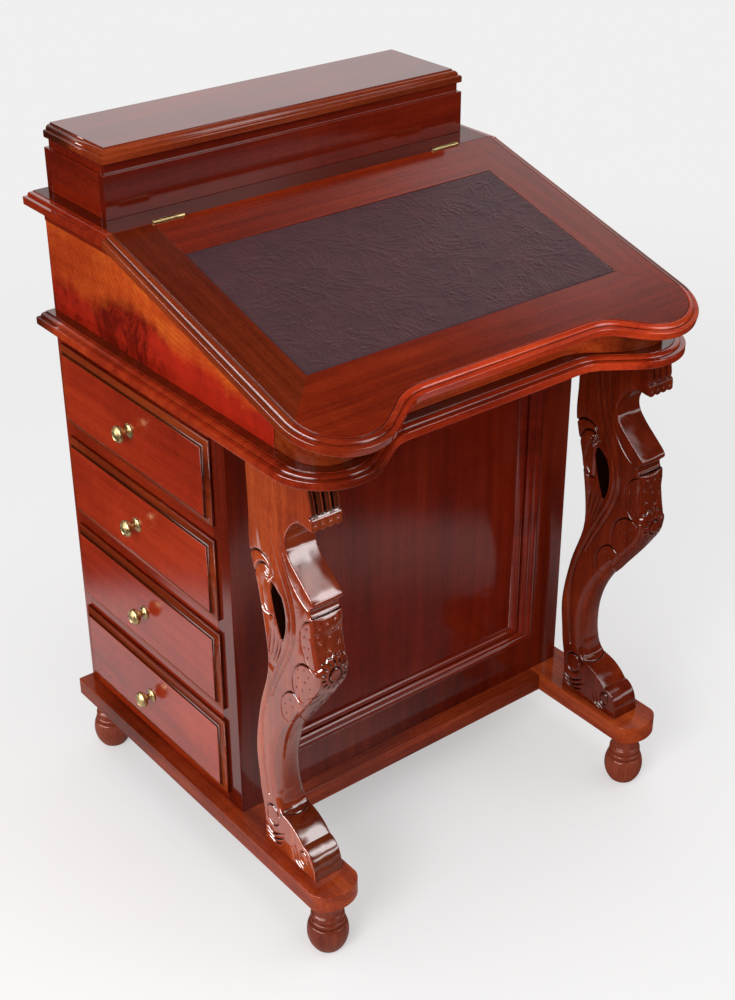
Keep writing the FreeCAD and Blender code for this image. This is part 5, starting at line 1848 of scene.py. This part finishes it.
@dataclass
class WritingBox:
    """Bottom board, sides, back, serpentine front rail and shelf. Sizes in millimetres."""

    edge: MouldedEdge = MouldedEdge()
    bottom: Serpentine = Serpentine(-215.4, -256.9, 118, 211, 272, 267.1)
    rail: Serpentine = Serpentine(-189.9, -231.4, 108, 211, 247.7, -165.9)
    rail_tall: float = 90.0
    rail_ease: float = 0.6
    floor_z: float = 602.5
    box_z: float = 616.0
    shelf_z: float = 745.4
    top_z: float = 758.9
    hinge_y: float = 97.8
    side_y: Pair = (-165.9, 267.1)
    outer_x: float = 247.7
    thick: float = 16.0
    strip: float = 9.0
    lid_gap: float = 0.3
    cleat_z: Pair = (722.5, 745.2)
    cleat_y: Pair = (112, 266.8)
    cleat_x: Pair = (-0.6, 1)
    # Painted shade along the bottom board's nose and the front rail, by place on X.
    bottom_edge_shade: Outline = ((-277, 0.4), (-250, 0.55), (-190, 0.62), (-125, 0), (160, 0),
                              (250, 0.3))
    rail_edge_shade: Outline = ((-240, 0.68), (-170, 0.62), (-120, 0), (120, 0), (175, 0.75),
                            (240, 0.6))

    def under_lid(self, y: float) -> float:
        """Args: y: a depth. Returns: height of the box's top edge there, in millimetres."""
        return (self.top_z - (self.hinge_y - y) * math.tan(SLOPE_ANGLE)
                - self.edge.thick / math.cos(SLOPE_ANGLE) - self.lid_gap)

    def build(self) -> None:
        """Makes the box."""
        bm = swept_board(self.bottom.path(), self.edge.profile(), self.floor_z * MM)
        piece = board(bm, "bottom_board_moulded", "desk", ["desk_bottom_board"], Finish.STILE,
                      Grain.X_ON_TOP)
        # Painted shade on the nose, darkest towards the left corner.
        Shop.paint_shade_along(piece.data, self.bottom_edge_shade)
        # The bottom board's moulded nose takes the lit EDGE copy: painted light.
        Shop.rim(piece, Finish.EDGE, Grain.X_ON_TOP)
        self._front_rail()
        for side, name in ((-1, "left"), (1, "right")):
            self._side(side, name)
            self._cleat(side, name)
        Shop.mahogany(eased("desk_back", "desk"), Finish.BODY, Grain.X_ON_FRONT)
        shelf = eased("shelf_board", "desk", 0.35 * MM)
        Shop.mahogany(shelf, Finish.SHELF, Grain.X_ON_TOP)
        Shop.rim(shelf, Finish.BODY, Grain.X_ON_TOP)

    def _front_rail(self) -> None:
        """Serpentine rail under the front of the lid."""
        ease = self.rail_ease * MM
        bm = swept_board(self.rail.path(), [(ease, 0), (0, ease), (0, self.rail_tall * MM)],
                         self.box_z * MM)
        cut_away(bm, (0, 0, self.under_lid(0) * MM), SLOPE_NORMAL, 0.5 * MM)
        # The front rail takes the lit RAIL copy: painted light.
        piece = board(bm, "front_rail_serpentine", "desk", ["desk_front_rail"], Finish.RAIL,
                      Grain.X_ON_FRONT)
        # Painted shade at the rail's ends, where the lid's shadow falls.
        Shop.paint_shade_along(piece.data, self.rail_edge_shade)

    def _side(self, side: int, name: str) -> None:
        """Side board with a strip at its slope. Args: side: -1 or 1. name: left or right."""
        front, back = self.side_y
        outline = [(front, self.box_z), (back, self.box_z), (back, self.shelf_z),
                   (self.hinge_y, self.shelf_z), (self.hinge_y, self.under_lid(self.hinge_y)),
                   (front, self.under_lid(front))]
        joint = (0, 0, (self.under_lid(0) - self.strip) * MM)
        both = bmesh.new()
        for way in (1, -1):
            bm = bmesh.new()
            rings = [[bm.verts.new((side * x * MM, y * MM, z * MM)) for y, z in outline]
                     for x in (self.outer_x - self.thick, self.outer_x)]
            for i in range(len(outline)):
                j = (i + 1) % len(outline)
                bm.faces.new((rings[0][i], rings[0][j], rings[1][j], rings[1][i]))
            for ring in rings:
                bm.faces.new(ring)
            face_out(bm)
            ease_edges(bm, 0.5 * MM)
            cut_away(bm, joint, tuple(way * c for c in SLOPE_NORMAL), 0.16 * MM)
            absorb(both, bm)
        board(both, f"desk_side_{name}_board", "desk", [f"desk_side_{name}"], Finish.FLAME,
              Grain.Y_ON_SIDE)

    def _cleat(self, side: int, name: str) -> None:
        """Thin strip under the shelf's end. Args: side: -1 or 1. name: left or right."""
        across = tuple(self.outer_x + x for x in self.cleat_x)
        bm = box((across, self.cleat_y, self.cleat_z), side)
        ease_edges(bm, 0.3 * MM)
        board(bm, f"shelf_cleat_{name}", "desk", (), Finish.BODY, Grain.Y_ON_SIDE)


@dataclass
class Lid:
    """Framed writing slope with its leather and hinges. Drawn flat, top at 0, in millimetres."""

    edge: MouldedEdge = MouldedEdge()
    nose: Serpentine = Serpentine(-346.4, -385.4, 113, 208, 272, 14)
    leather_half: float = 209.6
    leather_top: float = 60.5
    leather_low: float = 277.3
    leather_gap: float = 0.25
    leather_sunk: float = 0.3
    leather_deep: float = 1.7
    leather_grid: tuple[int, int] = (420, 218)
    crease_seed: int = 7
    creases: Sequence[tuple[float, float, float, float]] = (
        (0.3, 34, 4.2, 0.16), (1.15, 26, 3.6, 0.13), (1.9, 30, 3.9, 0.13), (2.6, 38, 4.4, 0.16))
    hinge_y: float = 97.8
    hinge_room: float = 0.4
    top_z: float = 758.9
    joint: float = 0.18
    # Painted shade along the lid's front edge, darkest towards the left corner.
    rail_edge_shade: Outline = ((-270, 0.55), (-190, 0.6), (-120, 0), (150, 0), (230, 0.4))
    screw_profile: Outline = ((0, -9), (0.5, -8.4), (1.2, -6), (1.2, -1.2), (2.2, -0.2),
                              (2.2, -0.02), (2.1, 0.06), (0, 0.1))
    slot_half: float = 0.28
    slot_deep: float = 0.45

    def build(self) -> None:
        """Makes the lid."""
        self._stiles()
        self._front_rail()
        for node, ease in (("lid_top_rail", 0.35 * MM), ("lid_core", 0.3 * MM)):
            Shop.mahogany(eased(node, "slope_lid", ease), Finish.SLOPE, Grain.ACROSS_SLOPE)
        self._leather()
        brass_hinges("lid", "slope_lid")
        self._screws()

    def _stiles(self) -> None:
        """Left and right members, mitred at the front; the right one's flat faces take the lighter
        slope colour, painted light.
        """
        half, low, lean = self.leather_half * MM, self.leather_low * MM, math.sqrt(0.5)
        stiles = bmesh.new()
        for side in (-1, 1):
            bm = self._blank()
            cut_away(bm, (side * half, 0, 0), (-side, 0, 0), self.joint * MM)
            cut_away(bm, (side * half, -low, 0), (-side * lean, -lean, 0), self.joint * MM)
            self._set(bm)
            cut_away(bm, (0, (self.hinge_y - self.hinge_room) * MM, 0), (0, 1, 0), 0.4 * MM)
            absorb(stiles, bm)
        piece = board(stiles, "lid_stiles_moulded", "slope_lid", ["lid_stiles"], Finish.STILE,
                      Grain.DOWN_SLOPE)
        # Lighter moulded edges on the stiles: painted light.
        Shop.rim(piece, Finish.MOULD, Grain.DOWN_SLOPE, SLOPE_NORMAL)
        # Painted light: the right stile's flat faces get a lighter copy of the wood.
        lit_right_stile = Finish.SLOPE.value.make("mahogany_right_stile", Grain.DOWN_SLOPE, 5.1)
        piece.data.materials.append(lit_right_stile)
        for face in piece.data.polygons:
            if face.material_index == 0 and face.center.x > 0:
                face.material_index = 2

    def _front_rail(self) -> None:
        """Serpentine front member, mitred into the stiles."""
        half, low, lean = self.leather_half * MM, self.leather_low * MM, math.sqrt(0.5)
        bm = self._blank()
        cut_away(bm, (0, -low, 0), (0, 1, 0), self.joint * MM)
        for side in (-1, 1):
            cut_away(bm, (side * half, -low, 0), (side * lean, lean, 0), self.joint * MM)
        self._set(bm)
        piece = board(bm, "lid_front_rail_moulded", "slope_lid", ["lid_front_rail"], Finish.SLOPE,
                      Grain.ACROSS_SLOPE)
        # Painted shade on the front rail's edge, darkest towards the left corner.
        Shop.paint_shade_along(piece.data, self.rail_edge_shade, SLOPE_NORMAL)
        # The lid's moulded nose takes the lit EDGE copy: painted light.
        Shop.rim(piece, Finish.EDGE, Grain.ACROSS_SLOPE, SLOPE_NORMAL)

    def _blank(self) -> BMesh:
        """The whole moulded lid, drawn flat."""
        return swept_board(self.nose.path(), self.edge.profile(), -self.edge.thick * MM)

    def _set(self, bm: BMesh) -> None:
        """Moves a flat drawing onto the slope. Args: bm: the drawing, in metres."""
        place = Matrix.Translation((0, self.hinge_y * MM, self.top_z * MM))
        move(bm, place @ Matrix.Rotation(SLOPE_ANGLE, 4, "X"))

    def _leather(self) -> None:
        """Crinkled sheet, glued down and a little below the wood."""
        noise.seed_set(self.crease_seed)
        gap = self.leather_gap
        x0, x1 = -self.leather_half + gap, self.leather_half - gap
        y0, y1 = -self.leather_low + gap, -self.leather_top - gap
        across, down = self.leather_grid
        bm = bmesh.new()
        rows = []
        for y in np.linspace(y0, y1, down + 1):
            row = []
            for x in np.linspace(x0, x1, across + 1):
                edge = min(x - x0, x1 - x, y - y0, y1 - y)
                rise = (self._crease(x, y) * min(edge / 3, 1)
                        - 0.35 * max(0, 1.0 - edge / 0.9) ** 2)
                row.append(bm.verts.new((x * MM, y * MM, (rise - self.leather_sunk) * MM)))
            rows.append(row)
        for low, high in zip(rows, rows[1:]):
            for i in range(across):
                bm.faces.new((low[i], low[i + 1], high[i + 1], high[i]))
        rim = (rows[0] + [row[-1] for row in rows[1:]] + rows[-1][-2::-1]
               + [row[0] for row in rows[-2:0:-1]])
        foot = [bm.verts.new((v.co.x, v.co.y, -self.leather_deep * MM)) for v in rim]
        for i in range(len(rim)):
            j = (i + 1) % len(rim)
            bm.faces.new((rim[i], rim[j], foot[j], foot[i]))
        bm.faces.new(foot)
        face_out(bm)
        self._set(bm)
        mesh = mesh_from(bm, "leather")
        shade_smooth(mesh, 50)
        piece = place_mesh("writing_leather", mesh, "slope_lid", ["lid_leather"])
        Shop.dress(piece, CrinkledLeather().make("crinkled_leather"))

    def _crease(self, x: float, y: float) -> float:
        """Args: x, y: a point. Returns: height of the leather's creases there."""
        bend = noise.noise_vector(Vector((x / 60, y / 60, 3.1))) * 22.0
        u, v = x + bend.x, y + bend.y
        height = (0.05 * noise.noise(Vector((x / 3.4, y / 3.4, 5.5)))
                  + 0.12 * noise.noise(Vector((u / 21, v / 21, 2))))
        for number, (turn, long, fine, deep) in enumerate(self.creases):
            a = u * math.cos(turn) + v * math.sin(turn)
            b = v * math.cos(turn) - u * math.sin(turn)
            value = noise.noise(Vector((a / long, b / fine, 7.0 * number)))
            here = noise.noise(Vector((x / 30, y / 30, 40.0 + 9.0 * number))) + 0.25
            height += (1.5 * deep * min(1, 2.5 * max(0, here))
                       * math.exp(-((value - 0.1) / 0.1) ** 2))
        return height

    def _screws(self) -> None:
        """Slotted screws in both leaves of each hinge."""
        for node, body, way in (("lid_hinge_fixed_screws", "desk", -1),
                                ("lid_hinge_moving_screws", "slope_lid", 1)):
            places = []
            for points, _ in solid_parts(node):
                x, y, z = points.T
                places.append((float(x.mean()), float(y.min() if way < 0 else y.max()),
                               float(0.5 * (z.min() + z.max()))))
            mesh = Repeat(self._screw(way), (0.0, 1.0, 0.0), math.tau, 3).build(
                node, places, AgedBrass().make(f"brass_{node}"))
            place_mesh(f"{node}_slotted", mesh, body, [node])

    def _screw(self, way: int) -> Mesh:
        """Slotted flat-headed screw.

        Args:
            way: the side its head faces along Y.

        Returns:
            The screw, head at the origin.
        """
        mesh = spun("screw", profile_line(self.screw_profile), 20)
        bm = bmesh.new()
        bm.from_mesh(mesh)
        for x in (-self.slot_half, self.slot_half):
            geom = bm.verts[:] + bm.edges[:] + bm.faces[:]
            bmesh.ops.bisect_plane(bm, geom=geom, dist=1e-7, plane_co=(x * MM, 0, 0),
                                   plane_no=(1, 0, 0))
        for vert in bm.verts:
            if abs(vert.co.x) < 0.2 * MM and vert.co.z > -0.5 * MM:
                vert.co.z -= self.slot_deep * MM
        mesh.clear_geometry()
        bm.to_mesh(mesh)
        bm.free()
        mesh.transform(Matrix.Rotation(-way * math.pi / 2, 4, "X"))
        return mesh


@dataclass
class PenBox:
    """Lidded pen box. Sizes in millimetres."""

    half: float = 244.8
    front: float = 132.4
    back: float = 256.5
    low: float = 818.3
    # How dark the lid's quirks are painted: old polish and painted shade.
    lid_quirk_shade: float = 0.25
    lid_ways: Outline = ((-0.92, -1.04), (0.92, -1.04), (0.92, 0.24), (-0.92, 0.24))
    nose: Outline = ((1.2, 0), (0.35, 0.35), (0, 1.2), (0, 6.6), (0.25, 7.5), (0.9, 8.15),
                     (1.8, 8.4), (3, 8.45), (3.35, 8.6), (3.45, 9.2))
    ovolo: Pair = (4.6, 4.7)
    quirk: Outline = ((8.5, 14), (8.62, 14.3), (8.66, 15.1), (8.8, 15.45), (9.3, 15.6))

    def build(self) -> None:
        """Makes the box and its lid."""
        for node, finish, grain in (("front", Finish.TOP, Grain.X_ON_FRONT),
                                    ("back", Finish.TOP, Grain.X_ON_FRONT),
                                    ("ends", Finish.BODY, Grain.Y_ON_SIDE)):
            Shop.mahogany(eased(f"pen_box_{node}", "desk", 0.5 * MM), finish, grain)
        self._lid()
        brass_hinges("pen", "pen_lid")

    def _lid(self) -> None:
        """Lid with a nosed edge, a step and an ovolo."""
        corners, _ = rectangle_path(-self.half, self.half, self.front, self.back)
        inset, height = self.nose[-1]
        ovolo = [(inset + self.ovolo[0] * (1 - math.cos(a)), height + self.ovolo[1] * math.sin(a))
                 for a in np.radians([12, 26, 40, 54, 68, 80, 90])]
        line = [(inset, self.low + height) for inset, height in (*self.nose, *ovolo, *self.quirk)]
        bm = ringed_block(corners, np.array(self.lid_ways), line, self.lid_quirk_shade)
        move(bm, Matrix.Diagonal((MM, MM, MM, 1)))
        piece = board(bm, "pen_lid_moulded", "pen_lid", ["pen_lid"], Finish.TOP, Grain.X_ON_TOP)
        # Lighter moulded edges on the pen lid: painted light.
        Shop.rim(piece, Finish.MOULD, Grain.X_ON_TOP)


# ---------------------------------------------------------------- stage
@dataclass(frozen=True)
class Panel:
    """Soft-edged light panel far away, seen only in the polish.

    `way` is its direction and `glow` its strength. `wide`, `tall` and `soft` are half its width,
    half its height and half its edge's width, at a distance of 1.
    """

    way: Point
    wide: float
    tall: float
    soft: float
    glow: float

    def light(self, g: Graph, look: Socket) -> Socket:
        """Args: g: the world's tree. look: the direction looked in. Returns: its light there."""
        middle = Vector(self.way).normalized()
        across = middle.cross(Vector(UPWARDS)).normalized()
        share = g.vector("DOT_PRODUCT", look, middle, "Value").step(0, 0.2)
        for axis, half in ((across, self.wide), (across.cross(middle), self.tall)):
            off = g.vector("DOT_PRODUCT", look, axis, "Value").size()
            share = share * (1.0 - off.step(half - self.soft, half + self.soft))
        return share * self.glow


@dataclass
class Studio:
    """Pale floor, soft lamps, a dark room for the polish and the camera. Lamp powers in watts."""

    eye: Point = (-1.03925, -1.31875, 1.3656)
    right: Point = (0.78532791, -0.6190717, -0.0032095)
    up: Point = (0.31229711, 0.39167979, 0.86548106)
    ahead: Point = (0.53453773, 0.68068875, -0.50093137)
    lens: float = 59.1
    lamps: Sequence[tuple[str, Point, float, float]] = (
        ("key", (-2.3, -1.1, 1.7), 1.3, 58), ("fill", (2.4, -1.4, 2.2), 1.8, 12),
        ("crown", (0, -0.3, 3.1), 2, 22))
    aim: Point = (0, 0, 0.45)
    card_place: Point = (0.77, -1.56, 1.58)
    card_aim: Point = (0, 0, 0.5)
    card_size: Pair = (0.95, 1.4)
    card_glow: float = 6.3
    panels: Sequence[Panel] = (
        Panel((0.55, 0.66, 0.38), 0.6, 0.26, 0.165, 1.28),
        Panel((0.7, 0.42, 0.585), 0.075, 0.125, 0.04, 0.5),
        Panel((0.58, -0.72, 0.22), 0.35, 0.07, 0.05, 5),
        Panel((0.4, -0.47, 0.79), 0.17, 0.13, 0.09, 2.6),
        Panel((-0.85, 0.05, 0.52), 0.5, 0.26, 0.08, 20))
    room_glow: float = 0.011
    soft_light: float = 0.69
    backdrop: float = 0.87
    bright_reach: float = 0.68
    cloth: Colour = (0.8, 0.796, 0.792)
    # Colour the floor takes in reflections where it is painted dark.
    reflected_shade_colour: Colour = (0.02, 0.015, 0.013)

    def build(self) -> None:
        """Makes the floor, the world, the lamps and the camera."""
        self._floor()
        self._world()
        for name, place, size, power in self.lamps:
            self._lamp(name, place, size, power)
        self._card()
        data = bpy.data.cameras.new("camera")
        data.lens = self.lens
        data.clip_start = 0.05
        camera = linked("camera", data)
        turn = Matrix((self.right, self.up, tuple(-v for v in self.ahead))).transposed()
        camera.matrix_world = Matrix.Translation(self.eye) @ turn.to_4x4()
        bpy.context.scene.camera = camera
        bpy.context.scene.view_settings.view_transform = "Standard"

    def _lamp(self, name: str, place: Point, size: float, power: float) -> None:
        """Args: name: its name. place: where it hangs. size: its panel's side. power: its watts."""
        data = bpy.data.lights.new(name, "AREA")
        data.shape = "RECTANGLE"
        data.size = data.size_y = size
        data.energy = power
        lamp = linked(name, data)
        lamp.location = place
        way = Vector(self.aim) - Vector(place)
        lamp.rotation_euler = way.to_track_quat("-Z", "Y").to_euler()
        lamp.visible_glossy = lamp.visible_camera = False

    @staticmethod
    def _sheet(name: str, pieces: int, size: Pair) -> Object:
        """Args: name: its name. pieces: squares a side. size: its limits. Returns: the sheet."""
        bm = bmesh.new()
        bmesh.ops.create_grid(bm, x_segments=pieces, y_segments=pieces, size=0.5)
        move(bm, Matrix.Diagonal((*size, 1, 1)))
        return linked(name, mesh_from(bm, name))

    @staticmethod
    def _cover(sheet: Object, g: Graph, share: Socket, first: Socket, second: Socket) -> None:
        """Covers a sheet of the stage with two blended shaders.

        Args:
            sheet: the sheet.
            g: its material's tree.
            share: weight of the second shader.
            first, second: the shaders.
        """
        material = g.end(g.node("MixShader", {}, {0: share, 1: first, 2: second}))
        material.cycles.emission_sampling = "NONE"
        Shop.dress(sheet, material)

    def _card(self) -> None:
        """Soft-edged glowing card that shows only in the polish."""
        card = self._sheet("side_card", 1, self.card_size)
        turn = (Vector(self.card_aim) - Vector(self.card_place)).to_track_quat("Z", "Y")
        card.matrix_world = Matrix.Translation(self.card_place) @ turn.to_matrix().to_4x4()
        card.visible_camera = card.visible_diffuse = card.visible_shadow = False
        g = Graph("side_card")
        x, y, _ = g.parts(g.place())
        share = ((1.0 - (x * (2.0 / self.card_size[0])).size().step(0.55, 1))
                 * (1.0 - (y * (2.0 / self.card_size[1])).size().step(0.55, 1)))
        glow = g.node("Emission", {}, {"Strength": self.card_glow})
        self._cover(card, g, share, g.node("BsdfTransparent"), glow)

    def _floor(self) -> None:
        """Pale sheet; in the polish it shows only near the desk, with painted shade in front of it;
        for the camera a white glow, painted light, lifts the desk's shadow.
        """
        g = Graph("floor_sheet")
        place = g.place()
        reach = g.vector("LENGTH", place, out="Value")
        polish, seen = self._rays(g)
        far = reach.step(self.bright_reach, self.bright_reach + 0.1)
        x, y, _ = g.parts(place)
        front = (x * 0.5 - y * 0.85).step(0.02, 0.34)
        # Painted shade: reflections see the floor darkened in front of the desk.
        painted_front_shade = front * (0.88 - reach.step(0.45, 0.65) * 0.33)
        colour = g.mix(polish * (far + painted_front_shade * (1.0 - far)), self.cloth, self.reflected_shade_colour)
        cloth = g.node("BsdfDiffuse", {}, {"Color": colour})
        white = g.node("Emission", {}, {"Color": (0.87, 0.868, 0.868, 1)})
        # Painted light: the camera sees a white glow blended over the cloth, about half of it even
        # in the desk's shadow.
        away = 0.48 + reach.step(0.75, 2.4) * 0.52
        self._cover(self._sheet("floor", 8, (18, 18)), g, away * seen, cloth, white)

    @staticmethod
    def _rays(g: Graph) -> tuple[Socket, Socket]:
        """Args: g: a tree. Returns: whether a ray is a reflection, and is the camera's."""
        rays = g.node("LightPath").link.node.outputs
        return Socket(g, rays["Is Glossy Ray"]), Socket(g, rays["Is Camera Ray"])

    def _world(self) -> None:
        """White for the camera, even for soft light, and a dark room with panels for the polish."""
        g = Graph("studio", True)
        way = g.place()
        shine: Any = self.room_glow
        for panel in self.panels:
            shine = shine + panel.light(g, way)
        polish, seen = self._rays(g)
        strength = (seen * self.backdrop + polish * shine
                    + (1.0 - seen - polish) * self.soft_light)
        world = g.end(g.node("Background", {}, {
            "Color": (1, 0.998, 0.998, 1), "Strength": strength}))
        world.cycles.sampling_method = "NONE"
        bpy.context.scene.world = world


def main() -> None:
    """Builds the stage, then every sub-assembly from the floor up."""
    logging.basicConfig(level=logging.INFO, format="%(message)s")
    Studio().build()
    for assembly in (Base(), Pedestal(), Drawers(), CarvedSupport(), WritingBox(), Lid(), PenBox()):
        log.info("building %s", type(assembly).__name__)
        assembly.build()


if __name__ == "__main__":
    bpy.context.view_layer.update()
    main()
